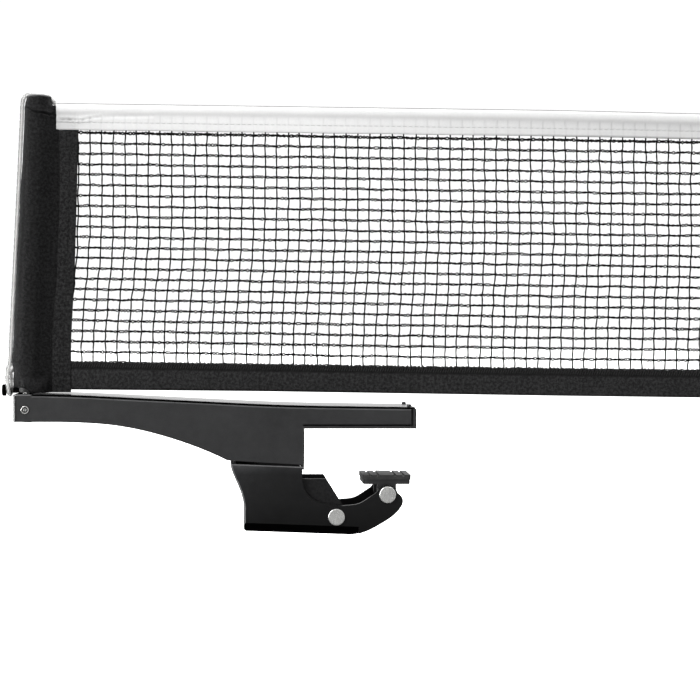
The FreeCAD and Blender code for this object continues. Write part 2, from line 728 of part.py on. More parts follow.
def lever_top_edge(e):
    b = e.BoundBox
    if b.YLength > 1e-3 or abs(abs(b.YMin) - half_width) > 1e-3:
        return False
    return b.ZMin > -18.2 and b.XLength > 20


lever = rounded(lever, 0.6, lever_top_edge)
# stiffening ribs across the floor and the hollow for the pins
lever = lever.fuse([box(-9.8, -8.2, -11.4, 11.4, -48.0, -45.6),
                    box(24.6, 26.2, -in_half - 0.2, in_half + 0.2, -48.5, -44.2)])
lever = lever.cut(rod_y(pivot[0], pivot[1], pin_r, -20, 20))
lever = lever.cut(rod_y(foot_pin[0], foot_pin[1], pin_r, -20, 20))
keep("lever_shell", clean(lever))


# ------------------------------------------------------------- pins and rings
def headed_pin(x, z):
    p = rod_y(x, z, pin_r, -half_width, half_width + 1.9)
    head = rod_y(x, z, 4.0, -half_width - 1.0, -half_width)
    head = rounded(head, 0.6, lambda e: e.BoundBox.YMax < -half_width - 0.9)
    p = p.fuse(head).removeSplitter()
    neck = rod_y(x, z, 3.2, half_width + 0.1, half_width + 0.9).cut(
        rod_y(x, z, 2.1, half_width, half_width + 1.0))
    p = p.cut(neck)
    tip = half_width + 1.9
    return rounded(p, 0.4, lambda e: e.BoundBox.YMin > tip - 1e-3)


def c_ring(x, z):
    r = rod_y(x, z, 4.1, half_width + 0.1, half_width + 0.9).cut(
        rod_y(x, z, 2.1, half_width, half_width + 1.0))
    return r.cut(box(x - 1.2, x + 1.2, half_width, half_width + 1.0, z - 6.0, z - 1.0))


keep("pivot_pin", headed_pin(*pivot))
keep("foot_pin", headed_pin(*foot_pin))
keep("pin_rings", [c_ring(*pivot), c_ring(*foot_pin)], 2)

bushes = []
for s in (-1, 1):
    y0, y1 = sorted((s * (ear_in - 0.0), s * ear_out))
    b = rod_y(pivot[0], pivot[1], 3.6, y0, y1)
    y0, y1 = sorted((s * ear_out, s * (ear_out + 0.45)))
    b = b.fuse(rod_y(pivot[0], pivot[1], 4.6, y0, y1)).removeSplitter()
    bushes.append(b.cut(rod_y(pivot[0], pivot[1], pin_r + run_gap, -20, 20)))
keep("pivot_bushes", bushes, 2)
spacer = rod_y(pivot[0], pivot[1], 3.9, -ear_in, ear_in).cut(
    rod_y(pivot[0], pivot[1], pin_r + run_gap, -20, 20))
keep("pivot_spacer", spacer)

# --------------------------------------------------------------- clamp spring
seat = rod_z(spring_x, 0, 7.0, spring_top, web_low)
seat = seat.fuse(rod_z(spring_x, 0, 3.0, web_low, web_low + 1.6))
seat = seat.fuse(rod_z(spring_x, 0, 3.7, spring_top - 6.0, spring_top))
seat = rounded(seat.removeSplitter(), 0.8, lambda e: e.BoundBox.ZMax < spring_top - 5.9)
keep("spring_seat_upper", seat)

floor_at = lever_foot[1] + lw + bottom_slope * (spring_x - lever_foot[0])
cup = rod_z(spring_x, 0, 7.2, floor_at - 1.5, spring_bottom + 1.2)
cup = cup.cut(rod_z(spring_x, 0, 6.4, spring_bottom, spring_bottom + 2))
cup = cup.fuse(rod_z(spring_x, 0, 3.7, spring_bottom - 0.5, spring_bottom + 6.0))
cup = rounded(cup.removeSplitter(), 0.8, lambda e: e.BoundBox.ZMin > spring_bottom + 5.9)
cup = cup.cut(lever_outer.cut(well))
keep("spring_cup_lower", Part.makeCompound([max(cup.Solids, key=lambda s: s.Volume)]))

height = (spring_top - spring_wire - 0.05) - (spring_bottom + spring_wire + 0.05)
helix = Part.makeHelix(height / spring_turns, height, spring_r)
section = Part.Wire([Part.makeCircle(spring_wire, Vector(spring_r, 0, 0), Vector(0, 1, 0))])
coil = Part.Wire(helix.Edges).makePipeShell([section], True, True)
coil.translate(P(spring_x, spring_bottom + spring_wire + 0.05))
closed = []
for z in (spring_bottom + spring_wire + 0.05, spring_top - spring_wire - 0.05):
    t = Part.makeTorus(spring_r, spring_wire, P(spring_x, z), Vector(0, 0, 1))
    closed.append(t)
coil = coil.fuse(closed)
keep("clamp_spring", coil)

# ---------------------------------------------------------------------- foot
pad_top = -grip_gap
shoe = box(28.0, 50.0, -13.4, 13.4, pad_top - 4.4, pad_top - 2.2)
shoe = rounded(shoe, 1.5, lambda e: e.BoundBox.ZLength > 2.0)
lugs = []
for s in (-1, 1):
    y0, y1 = sorted((s * 8.6, s * 13.4))
    lug = rod_y(px, pz, 4.4, y0, y1).fuse(box(px - 4.4, px + 4.4, y0, y1, pz, pad_top - 3.0))
    lugs.append(lug)
shoe = shoe.fuse(lugs).removeSplitter()
shoe = shoe.cut(rod_y(px, pz, pin_r + run_gap, -20, 20))
keep("foot_shoe", clean(shoe))
pad = box(27.6, 50.4, -13.8, 13.8, pad_top - 2.2, pad_top)
pad = rounded(pad, 1.8, lambda e: e.BoundBox.ZLength > 2.0)
for x in (31.0, 35.0, 43.0, 47.0):
    pad = pad.cut(box(x - 0.6, x + 0.6, -20, 20, pad_top - 0.7, pad_top + 1))
keep("foot_pad", clean(pad))

# -------------------------------------------------------------------- export
total = Part.makeCompound(list(nodes.values()))
for name, shape in nodes.items():
    shape.exportStep("parts/%s.step" % name)
b = total.BoundBox
print("nodes", len(nodes), "box x %.1f..%.1f y %.1f..%.1f z %.1f..%.1f"
      % (b.XMin, b.XMax, b.YMin, b.YMax, b.ZMin, b.ZMax))
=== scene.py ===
import bpy
import math
import random
import numpy as np
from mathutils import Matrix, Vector, noise


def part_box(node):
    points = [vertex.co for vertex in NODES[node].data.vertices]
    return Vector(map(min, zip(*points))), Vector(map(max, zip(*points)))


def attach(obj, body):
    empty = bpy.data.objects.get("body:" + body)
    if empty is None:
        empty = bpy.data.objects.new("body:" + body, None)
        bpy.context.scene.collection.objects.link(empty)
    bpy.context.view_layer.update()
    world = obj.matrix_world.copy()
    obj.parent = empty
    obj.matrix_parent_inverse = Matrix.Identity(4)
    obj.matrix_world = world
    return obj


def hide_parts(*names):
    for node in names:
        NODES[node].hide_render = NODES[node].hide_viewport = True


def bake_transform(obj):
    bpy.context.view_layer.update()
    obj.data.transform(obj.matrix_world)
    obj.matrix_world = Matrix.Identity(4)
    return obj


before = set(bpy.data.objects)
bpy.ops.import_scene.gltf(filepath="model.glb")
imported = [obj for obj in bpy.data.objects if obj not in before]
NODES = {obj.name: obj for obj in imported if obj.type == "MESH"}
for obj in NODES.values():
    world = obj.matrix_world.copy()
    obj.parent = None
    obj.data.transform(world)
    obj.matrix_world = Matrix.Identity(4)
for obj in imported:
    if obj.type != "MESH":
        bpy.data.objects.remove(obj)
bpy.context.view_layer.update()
MM = 0.001
SC = 25.0            # stations are measured from the back stop, the frame's X from the seat centre


# ------------------------------------------------------------------- camera
cam = bpy.data.cameras.new("camera")
co = bpy.data.objects.new("camera", cam)
bpy.context.scene.collection.objects.link(co)
co.location = (-0.0373 - 0.025, -0.900, 0.0529)
co.rotation_euler = (math.radians(90), 0, 0)
cam.lens = 1881.0 / 700 * 36
cam.sensor_width = 36
cam.shift_x = 125.0 / 700
cam.shift_y = -34.0 / 700
cam.clip_start = 0.05
bpy.context.scene.camera = co
bpy.context.scene.view_settings.view_transform = "Standard"


# ------------------------------------------------------------ mesh building
def smoothstep(a, b, x):
    t = min(max((x - a) / (b - a), 0.0), 1.0)
    return t * t * (3 - 2 * t)


def bumpy(x, y, z, scale, seed=0.0):
    return noise.noise(Vector((x / scale + seed * 7.3, y / scale - seed * 3.1, z / scale + seed)))


def at(points, x):
    pts = points if points[0][0] < points[-1][0] else list(reversed(points))
    if x <= pts[0][0]:
        (xa, za), (xb, zb) = pts[0], pts[1]
    elif x >= pts[-1][0]:
        (xa, za), (xb, zb) = pts[-2], pts[-1]
    else:
        for (xa, za), (xb, zb) in zip(pts, pts[1:]):
            if xa <= x <= xb:
                break
    return za + (zb - za) * (x - xa) / (xb - xa)


class Build:
    """Collects vertices (millimetres: station, depth, height) and faces of one object."""

    def __init__(self):
        self.v, self.q, self.t, self.n = [], [], [], 0
        self.cloth, self.shade = [], []

    def add(self, v, quads=None, tris=None, cloth=None, shade=None):
        v = np.asarray(v, float)
        if quads is not None and len(quads):
            self.q.append(np.asarray(quads, int) + self.n)
        if tris is not None and len(tris):
            self.t.append(np.asarray(tris, int) + self.n)
        self.v.append(v)
        self.cloth.append(np.zeros((len(v), 3)) if cloth is None else np.asarray(cloth, float))
        self.shade.append(np.zeros(len(v)) if shade is None else np.asarray(shade, float))
        self.n += len(v)

    def object(self, name, material, body, smooth=True, slot=None):
        v = np.concatenate(self.v)
        v = v.copy()
        v[:, 0] -= SC
        v *= MM
        faces = []
        if self.q:
            faces += np.concatenate(self.q).tolist()
        if self.t:
            faces += np.concatenate(self.t).tolist()
        me = bpy.data.meshes.new(name)
        me.from_pydata(v.tolist(), [], faces)
        me.validate()
        me.polygons.foreach_set("use_smooth", [smooth] * len(me.polygons))
        a = me.attributes.new("cloth", "FLOAT_VECTOR", "POINT")
        a.data.foreach_set("vector", np.concatenate(self.cloth).ravel())
        a = me.attributes.new("shade", "FLOAT", "POINT")
        a.data.foreach_set("value", np.concatenate(self.shade))
        me.update()
        o = bpy.data.objects.new(name, me)
        bpy.context.scene.collection.objects.link(o)
        me.materials.append(material)
        if body:
            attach(o, body)
        return o


def frames(pts):
    """Tangents and two normals along a line of points, turned as little as possible."""
    pts = np.asarray(pts, float)
    t = np.gradient(pts, axis=0)
    t /= np.linalg.norm(t, axis=1)[:, None]
    n1 = np.zeros_like(t)
    ref = np.array([0.0, 1.0, 0.0])
    if abs(t[0] @ ref) > 0.9:
        ref = np.array([1.0, 0.0, 0.0])
    a = ref - t[0] * (ref @ t[0])
    n1[0] = a / np.linalg.norm(a)
    for i in range(1, len(pts)):
        a = n1[i - 1] - t[i] * (n1[i - 1] @ t[i])
        n1[i] = a / np.linalg.norm(a)
    return t, n1, np.cross(t, n1)


def tube(b, pts, radius, sides=6, flat=1.0, caps=True, closed=False, fr=None, shade=None):
    """A round tube along points (mm)."""
    pts = np.asarray(pts, float)
    n = len(pts)
    t, n1, n2 = frames(pts) if fr is None else fr
    r = np.broadcast_to(np.asarray(radius, float), (n,))
    ang = np.arange(sides) * 2 * math.pi / sides
    v = (pts[:, None, :] + r[:, None, None] * (np.cos(ang)[None, :, None] * n1[:, None, :] * flat
                                              + np.sin(ang)[None, :, None] * n2[:, None, :]))
    v = v.reshape(-1, 3)
    i = np.arange(n if closed else n - 1)[:, None] * sides
    k = np.arange(sides)[None, :]
    k2 = (k + 1) % sides
    nxt = (i + sides) % (n * sides)
    quads = np.stack([i + k, i + k2, nxt + k2, nxt + k], axis=-1).reshape(-1, 4)
    tris = []
    if caps and not closed:
        v = np.vstack([v, pts[0] - t[0] * r[0] * 0.45, pts[-1] + t[-1] * r[-1] * 0.45])
        a, z = n * sides, n * sides + 1
        for j in range(sides):
            tris.append([a, (j + 1) % sides, j])
            tris.append([z, (n - 1) * sides + j, (n - 1) * sides + (j + 1) % sides])
    b.add(v, quads, tris, shade=None if shade is None else np.full(len(v), shade))


def skin(b, outer, inner, cloth, shade=None):
    """A sheet with a thickness: outer and inner grids (rows, columns, 3), closed along all four edges."""
    outer, inner = np.asarray(outer, float), np.asarray(inner, float)
    m, n = outer.shape[:2]
    idx = np.arange(m * n).reshape(m, n)
    a = np.stack([idx[:-1, :-1], idx[:-1, 1:], idx[1:, 1:], idx[1:, :-1]], -1).reshape(-1, 4)
    c = a[:, ::-1] + m * n
    quads = [a, c]
    for edge, flip in ((idx[:, 0], False), (idx[:, -1], True), (idx[0, :], True), (idx[-1, :], False)):
        e = np.stack([edge[:-1], edge[1:], edge[1:] + m * n, edge[:-1] + m * n], -1)
        quads.append(e[:, ::-1] if flip else e)
    cl = np.asarray(cloth, float).reshape(-1, 3)
    sh = np.zeros(m * n) if shade is None else np.asarray(shade, float).reshape(-1)
    b.add(np.vstack([outer.reshape(-1, 3), inner.reshape(-1, 3)]), np.concatenate(quads),
          cloth=np.vstack([cl, cl]), shade=np.concatenate([sh, sh]))


# ---------------------------------------------------------------- materials
class Mat:
    def __init__(self, name, base, rough, metal=0.0, spec=0.5, sheen=0.0, sheen_rough=0.5, coat=0.0,
                 coat_rough=0.1):
        self.m = bpy.data.materials.new(name)
        self.m.use_nodes = True
        self.nt = self.m.node_tree
        self.bsdf = self.nt.nodes["Principled BSDF"]
        i = self.bsdf.inputs
        i["Base Color"].default_value = (*base, 1)
        i["Roughness"].default_value = rough
        i["Metallic"].default_value = metal
        i["Specular IOR Level"].default_value = spec
        i["Sheen Weight"].default_value = sheen
        i["Sheen Roughness"].default_value = sheen_rough
        i["Coat Weight"].default_value = coat
        i["Coat Roughness"].default_value = coat_rough
        self.base = base
        self.m.diffuse_color = (*base, 1)
        self.tc = self.nt.nodes.new("ShaderNodeTexCoord")
        self.co = self.tc.outputs["Object"]
        self.last_bump = None

    def link(self, a, b):
        self.nt.links.new(a, b)

    def attribute(self, name, out="Vector"):
        n = self.nt.nodes.new("ShaderNodeAttribute")
        n.attribute_name = name
        return n.outputs[out]

    def mapped(self, scale, src=None):
        n = self.nt.nodes.new("ShaderNodeMapping")
        n.inputs["Scale"].default_value = scale
        self.link(src or self.co, n.inputs["Vector"])
        return n.outputs["Vector"]

    def noise(self, scale, detail=2.0, rough=0.5, distort=0.0, src=None):
        n = self.nt.nodes.new("ShaderNodeTexNoise")
        n.inputs["Scale"].default_value = scale
        n.inputs["Detail"].default_value = detail
        n.inputs["Roughness"].default_value = rough
        n.inputs["Distortion"].default_value = distort
        self.link(src or self.co, n.inputs["Vector"])
        return n.outputs["Fac"]

    def voronoi(self, scale, src=None, feature="F1"):
        n = self.nt.nodes.new("ShaderNodeTexVoronoi")
        n.feature = feature
        n.inputs["Scale"].default_value = scale
        self.link(src or self.co, n.inputs["Vector"])
        return n.outputs["Distance"]

    def math(self, op, a, b=None, clamp=False):
        n = self.nt.nodes.new("ShaderNodeMath")
        n.operation = op
        n.use_clamp = clamp
        for k, x in enumerate((a, b)):
            if x is None:
                continue
            if isinstance(x, (int, float)):
                n.inputs[k].default_value = x
            else:
                self.link(x, n.inputs[k])
        return n.outputs[0]

    def split(self, src=None):
        n = self.nt.nodes.new("ShaderNodeSeparateXYZ")
        self.link(src or self.co, n.inputs[0])
        return n.outputs

    def ramp(self, fac, *stops):
        n = self.nt.nodes.new("ShaderNodeValToRGB")
        e = n.color_ramp.elements
        while len(e) < len(stops):
            e.new(0.5)
        for k, (p, c) in enumerate(stops):
            e[k].position = p
            c = (c, c, c) if isinstance(c, (int, float)) else c
            e[k].color = (*c, 1)
        self.link(fac, n.inputs["Fac"])
        return n.outputs["Color"]

    def range(self, fac, a, b, c, d):
        n = self.nt.nodes.new("ShaderNodeMapRange")
        self.link(fac, n.inputs["Value"])
        for k, x in zip(("From Min", "From Max", "To Min", "To Max"), (a, b, c, d)):
            n.inputs[k].default_value = x
        return n.outputs["Result"]

    def mix(self, fac, a, b, mode="MIX"):
        n = self.nt.nodes.new("ShaderNodeMix")
        n.data_type = "RGBA"
        n.blend_type = mode
        for k, x in (("Factor", fac), ("A", a), ("B", b)):
            s = [i for i in n.inputs if i.name == k and i.enabled][0]
            if isinstance(x, (int, float)):
                s.default_value = x
            elif isinstance(x, tuple):
                s.default_value = (*x, 1)
            else:
                self.link(x, s)
        return [o for o in n.outputs if o.enabled][0]

    def color(self, out):
        self.link(out, self.bsdf.inputs["Base Color"])

    def rough(self, out):
        self.link(out, self.bsdf.inputs["Roughness"])

    def bump(self, height, strength, distance):
        n = self.nt.nodes.new("ShaderNodeBump")
        n.inputs["Strength"].default_value = strength
        n.inputs["Distance"].default_value = distance
        self.link(height, n.inputs["Height"])
        if self.last_bump:
            self.link(self.last_bump, n.inputs["Normal"])
        self.last_bump = n.outputs["Normal"]
        self.link(self.last_bump, self.bsdf.inputs["Normal"])


def moulded(name, low, high, rough, spec, grain=0.35, coarse=0.5):
    """Black moulded plastic with a fine spark-eroded grain."""
    m = Mat(name, high, rough, spec=spec)
    fine = m.noise(3200, 3, 0.6)
    mid = m.noise(240, 3, 0.55)
    big = m.noise(34, 3, 0.5)
    tone = m.math("ADD", m.math("MULTIPLY", fine, 0.4), m.math("ADD", m.math("MULTIPLY", mid, 0.25),
                                                               m.math("MULTIPLY", big, 0.35)))
    m.color(m.ramp(tone, (0.36, low), (0.62, high)))
    m.rough(m.range(m.math("ADD", m.math("MULTIPLY", mid, 0.5), m.math("MULTIPLY", big, 0.5)),
                    0.3, 0.7, rough - 0.07, rough + 0.07))
    m.bump(fine, grain, 0.00006)
    m.bump(mid, coarse * 0.4, 0.0001)
    return m


casing = moulded("satin_black_casing", (0.0185, 0.0187, 0.0195), (0.0305, 0.0307, 0.0318), 0.38, 0.35)
casing_low = moulded("satin_black_lever", (0.005, 0.0051, 0.0054), (0.01, 0.0101, 0.0105), 0.42, 0.18)
# painted shade and light on the lever's face: painted darker towards its lower edge, with a painted highlight band near
# its top edge
_lever_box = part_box("lever_shell")
_low = _lever_box[0].z
_z = casing_low.split()[2]
_g = casing_low.range(_z, _low, -0.0165, 0.0, 1.0)
_old = casing_low.bsdf.inputs["Base Color"].links[0].from_socket
casing_low.color(casing_low.mix(1.0, _old, casing_low.ramp(_g, (0.05, 0.12), (0.45, 0.8), (0.85, 1.25), (0.925, 2.2), (0.975, 3.6)), "MULTIPLY"))
# painted light: the lever's face is painted lighter towards its left end
_x = casing_low.split()[0]
_old = casing_low.bsdf.inputs["Base Color"].links[0].from_socket
casing_low.color(casing_low.mix(1.0, _old, casing_low.ramp(casing_low.range(_x, -0.054, -0.036, 0.0, 1.0), (0.0, 1.7), (1.0, 1.0)),
                                "MULTIPLY"))
# painted shade: a near-black copy of the moulding, without reflection, for the groove under the strap, the strap's
# front edges, the lever's lower bevel, the pad's top and the collar's left end
shadow_black = moulded("painted_shadow_black", (0.0006, 0.0006, 0.0007), (0.0016, 0.0016, 0.0017), 0.8, 0.0)
# painted shade: a darker copy of the casing for the arm's left corner, beside its lit fillet
corner_shade = moulded("corner_shade", (0.004, 0.004, 0.0042), (0.009, 0.009, 0.0094), 0.7, 0.1)
# painted highlight: lighter copies of the casing and lever moulding for their rounded edges, where light catches them
casing_painted_highlight = moulded("casing_painted_highlight", (0.055, 0.0552, 0.0565), (0.085, 0.0852, 0.087), 0.3, 0.6)
lever_painted_highlight = moulded("lever_painted_highlight", (0.085, 0.0852, 0.087), (0.125, 0.1252, 0.128), 0.34, 0.5)
moulding = moulded("matt_black_moulding", (0.012, 0.012, 0.0125), (0.024, 0.024, 0.0245), 0.6, 0.4)
cap_black = moulded("matt_black_cap", (0.008, 0.008, 0.0085), (0.016, 0.016, 0.0165), 0.55, 0.4)

frame_steel = Mat("black_powder_coat", (0.008, 0.008, 0.0085), 0.55, spec=0.2)
_peel = frame_steel.noise(900, 2, 0.5)
frame_steel.color(frame_steel.ramp(_peel, (0.3, (0.005, 0.005, 0.0053)), (0.7, (0.012, 0.012, 0.0125))))
frame_steel.bump(_peel, 0.5, 0.00012)
frame_steel.rough(frame_steel.range(frame_steel.noise(2600, 2), 0.3, 0.7, 0.4, 0.58))

strap_steel = Mat("satin_black_strap", (0.03, 0.03, 0.031), 0.2, spec=0.5)
_n = strap_steel.noise(1.0, 4, 0.6, src=strap_steel.mapped((120, 2600, 2600)))
strap_steel.color(strap_steel.ramp(_n, (0.3, (0.02, 0.02, 0.021)), (0.7, (0.045, 0.045, 0.046))))
strap_steel.rough(strap_steel.range(_n, 0.3, 0.7, 0.15, 0.26))
strap_steel.bump(_n, 0.25, 0.00004)

rivet_black = Mat("black_oxide", (0.02, 0.02, 0.021), 0.38, metal=0.6)
_n = rivet_black.noise(1500, 3)
rivet_black.color(rivet_black.ramp(_n, (0.3, (0.012, 0.012, 0.013)), (0.7, (0.05, 0.05, 0.052))))
rivet_black.rough(rivet_black.range(_n, 0.3, 0.7, 0.3, 0.5))
rivet_black.bump(_n, 0.2, 0.00005)


def plated(name, low, high, rough, scratch=0.25):
    m = Mat(name, high, rough, metal=1.0)
    a = m.noise(1.0, 4, 0.6, src=m.mapped((2200, 2200, 500)))
    b = m.noise(260, 3, 0.5)
    m.color(m.ramp(m.math("ADD", m.math("MULTIPLY", a, 0.6), m.math("MULTIPLY", b, 0.4)), (0.32, low), (0.68, high)))
    m.rough(m.range(a, 0.3, 0.7, rough - 0.06, rough + 0.1))
    m.bump(a, scratch, 0.00004)
    return m


# painted shade: a dark copy of the plating for the socket screw's recess
recess_painted_shade = plated("screw_recess_painted_shade", (0.006, 0.006, 0.006), (0.02, 0.02, 0.02), 0.5)
zinc = plated("bright_zinc", (0.62, 0.62, 0.61), (0.84, 0.84, 0.82), 0.22)
ring_steel = plated("oiled_ring_steel", (0.16, 0.155, 0.15), (0.32, 0.31, 0.3), 0.3)
spring_steel = plated("spring_wire", (0.24, 0.235, 0.23), (0.5, 0.49, 0.48), 0.28)

bush = Mat("natural_nylon", (0.72, 0.70, 0.64), 0.5, spec=0.4)
_n = bush.noise(700, 3)
bush.color(bush.ramp(_n, (0.3, (0.64, 0.62, 0.56)), (0.7, (0.76, 0.74, 0.68))))
bush.rough(bush.range(_n, 0.3, 0.7, 0.42, 0.58))
bush.bump(_n, 0.2, 0.00005)

rubber = Mat("matt_black_rubber", (0.02, 0.02, 0.02), 0.78, spec=0.35)
_a, _b = rubber.noise(1800, 3, 0.6), rubber.noise(150, 3)
rubber.color(rubber.ramp(rubber.math("ADD", rubber.math("MULTIPLY", _a, 0.5), rubber.math("MULTIPLY", _b, 0.5)),
                         (0.35, (0.02, 0.02, 0.02)), (0.68, (0.045, 0.045, 0.044))))
rubber.rough(rubber.range(_b, 0.3, 0.7, 0.68, 0.88))
rubber.bump(_a, 0.5, 0.00012)

tube_black = Mat("gloss_black_tube", (0.012, 0.012, 0.012), 0.16, coat=0.4, coat_rough=0.08)
_n = tube_black.noise(500, 3)
tube_black.color(tube_black.ramp(_n, (0.3, (0.008, 0.008, 0.008)), (0.7, (0.018, 0.018, 0.018))))
tube_black.rough(tube_black.range(_n, 0.3, 0.7, 0.12, 0.24))

gloss = Mat("gloss_black_collar", (0.006, 0.006, 0.006), 0.38, spec=0.6, coat=0.1, coat_rough=0.3)
_a, _b = gloss.noise(1400, 3), gloss.noise(160, 3, 0.6)
gloss.color(gloss.ramp(_b, (0.3, (0.004, 0.004, 0.004)), (0.7, (0.012, 0.012, 0.012))))
gloss.rough(gloss.range(gloss.math("ADD", gloss.math("MULTIPLY", _a, 0.5), gloss.math("MULTIPLY", _b, 0.5)),
                        0.3, 0.7, 0.32, 0.44))
gloss.bump(_a, 0.06, 0.00005)


def woven(name, dark, light, rough, pitch, sheen, relief, spec=0.4, mottle=0.4, stretch=1.0, sheen_rough=0.4,
          low=0.38, high=0.6):
    """Woven cloth: threads from the cloth's own coordinates (millimetres), over and under."""
    m = Mat(name, light, rough, spec=spec, sheen=sheen, sheen_rough=sheen_rough)
    cl = m.attribute("cloth")
    u, v, _ = m.split(cl)
    wob = m.noise(0.35, 2, src=cl)
    uu = m.math("ADD", m.math("MULTIPLY", u, 2 * math.pi / pitch), m.math("MULTIPLY", wob, 1.6))
    vv = m.math("ADD", m.math("MULTIPLY", v, 2 * math.pi / (pitch * stretch)), m.math("MULTIPLY", wob, 1.6))
    over = m.math("MULTIPLY", m.math("SINE", uu), m.math("SINE", vv))
    threads = m.math("MULTIPLY", m.math("ABSOLUTE", m.math("SINE", m.math("MULTIPLY", uu, 2.0))),
                     m.math("ABSOLUTE", m.math("SINE", m.math("MULTIPLY", vv, 2.0))))
    h = m.math("ADD", m.math("MULTIPLY", over, 0.5), m.math("MULTIPLY", threads, 0.4))
    fuzz = m.noise(1.6, 3, 0.6, src=cl)
    big = m.noise(0.11, 3, 0.55, src=cl)
    spots = m.noise(0.75, 2, 0.5, src=cl)
    grain = m.math("MULTIPLY", m.math("ADD", fuzz, spots), mottle)
    tone = m.math("ADD", m.math("ADD", m.math("MULTIPLY", m.range(h, -0.5, 0.9, 0.0, 1.0), 0.12), grain),
                  m.math("MULTIPLY", big, 0.88 - 2 * mottle))
    col = m.ramp(tone, (low, dark), (high, light))
    # painted shade: the 'shade' attribute darkens the cloth in its folds, creases, stitch lines and edges; its
    # strongest values, the tape's top outline, are painted darker still
    shade = m.attribute("shade", "Fac")
    col = m.mix(m.math("MAXIMUM", shade, 0.0, True), col, tuple(c * 0.25 for c in dark))
    m.color(m.mix(m.range(shade, 0.85, 1.0, 0.0, 1.0), col, tuple(c * 0.1 for c in dark)))
    m.rough(m.range(fuzz, 0.3, 0.7, rough - 0.08, rough + 0.08))
    m.bump(h, relief, 0.00006)
    m.bump(fuzz, relief * 0.9, 0.00016)
    m.bump(spots, relief * 0.8, 0.00022)
    return m


sleeve_cloth = woven("black_sleeve_cloth", (0.0012, 0.0012, 0.0013), (0.0165, 0.0165, 0.0172), 0.66, 0.42, 0.04, 0.9,
                     spec=0.15, low=0.43, high=0.57)
band_cloth = woven("black_band_cloth", (0.0025, 0.0025, 0.0027), (0.028, 0.028, 0.0286), 0.7, 0.5, 0.05, 1.0, spec=0.15,
                   low=0.43, high=0.57)
hem_cloth = woven("black_hem_webbing", (0.003, 0.003, 0.0033), (0.029, 0.029, 0.0296), 0.62, 0.55, 0.05, 1.0, spec=0.2,
                  stretch=1.8, low=0.43, high=0.57)
tape_white = woven("white_tape_cloth", (0.84, 0.84, 0.84), (0.93, 0.93, 0.925), 0.75, 0.38, 0.05, 0.3, spec=0.25,
                   mottle=0.3, low=0.3, high=0.68)

twine = Mat("black_net_twine", (0.004, 0.004, 0.004), 0.8, spec=0.12, sheen=0.02)
_a = twine.noise(2600, 3, 0.6)
twine.color(twine.ramp(_a, (0.3, (0.002, 0.002, 0.002)), (0.7, (0.006, 0.006, 0.006))))
twine.bump(_a, 0.6, 0.0001)
twine.rough(twine.range(_a, 0.3, 0.7, 0.62, 0.82))

black_thread = Mat("black_sewing_thread", (0.012, 0.012, 0.012), 0.5, spec=0.4)
_a = black_thread.noise(4200, 2, 0.6)
black_thread.color(black_thread.ramp(_a, (0.3, (0.002, 0.002, 0.002)), (0.7, (0.01, 0.01, 0.01))))
black_thread.bump(_a, 0.5, 0.00005)

# white sewing thread, painted grey for the shade in the stitch line it lies in
white_thread = Mat("stitch_thread_painted_grey", (0.72, 0.72, 0.72), 0.6, spec=0.3)
_a = white_thread.noise(4200, 2, 0.6)
white_thread.color(white_thread.ramp(_a, (0.3, (0.42, 0.42, 0.42)), (0.7, (0.58, 0.58, 0.58))))
white_thread.bump(_a, 0.5, 0.00005)
# painted shade: a grey thread laid along the tape's fold, for the shade where its top edge curves away
edge_thread = Mat("tape_fold_painted_shade", (0.3, 0.3, 0.3), 0.7, spec=0.2)
_a = edge_thread.noise(4200, 2, 0.6)
edge_thread.color(edge_thread.ramp(_a, (0.3, (0.2, 0.2, 0.2)), (0.7, (0.34, 0.34, 0.34))))
edge_thread.bump(_a, 0.5, 0.00005)

cord_white = Mat("white_braided_cord", (0.84, 0.84, 0.83), 0.7, spec=0.3, sheen=0.1)
_a, _b = cord_white.noise(3600, 3, 0.6), cord_white.noise(220, 2)
_c = cord_white.ramp(cord_white.math("ADD", cord_white.math("MULTIPLY", _a, 0.5), cord_white.math("MULTIPLY", _b, 0.5)),
                     (0.32, (0.7, 0.7, 0.69)), (0.66, (0.86, 0.86, 0.85)))
# painted shade: the 'shade' attribute darkens the cord towards grey at its sides and in its crevices
cord_white.color(cord_white.mix(cord_white.math("MAXIMUM", cord_white.attribute("shade", "Fac"), 0.0, True), _c,
                                (0.1, 0.1, 0.1)))
cord_white.bump(_a, 0.6, 0.00008)

for node, m in {
    "arm_shell": casing, "lever_shell": casing_low, "inner_frame": frame_steel, "frame_screws": zinc,
    "jaw_liner": rubber, "arm_strap": strap_steel, "strap_rivets": rivet_black, "post_socket": moulding,
    "socket_screws": zinc, "spring_seat_upper": moulding, "spring_cup_lower": moulding, "pivot_bushes": bush,
    "pivot_spacer": zinc, "pivot_pin": zinc, "foot_pin": zinc, "pin_rings": ring_steel, "foot_shoe": moulding,
    "foot_pad": rubber, "post_spigot": zinc, "post_tube": tube_black, "post_collar": gloss, "post_cap": cap_black,
    "height_screw": zinc, "screw_ring": ring_steel,
}.items():
    if node not in NODES:
        continue
    data = NODES[node].data
    data.materials.clear()
    data.materials.append(m.m)


def second(node, m, want):
    """A second material on the faces of a node that want(centre, normal) picks, in the frame's millimetres."""
    o = NODES[node]
    o.data.materials.append(m.m)
    mw = o.matrix_world
    rot = mw.to_3x3()
    for f in o.data.polygons:
        if want((mw @ f.center) * 1000.0, (rot @ f.normal).normalized()):
            f.material_index = len(o.data.materials) - 1


ARM_TOP = [(-137.1, 15.9), (-112.0, 15.5), (-82.0, 14.15), (-45.0, 12.3), (-10.0, 10.75), (20.0, 10.15), (50.4, 9.75)]
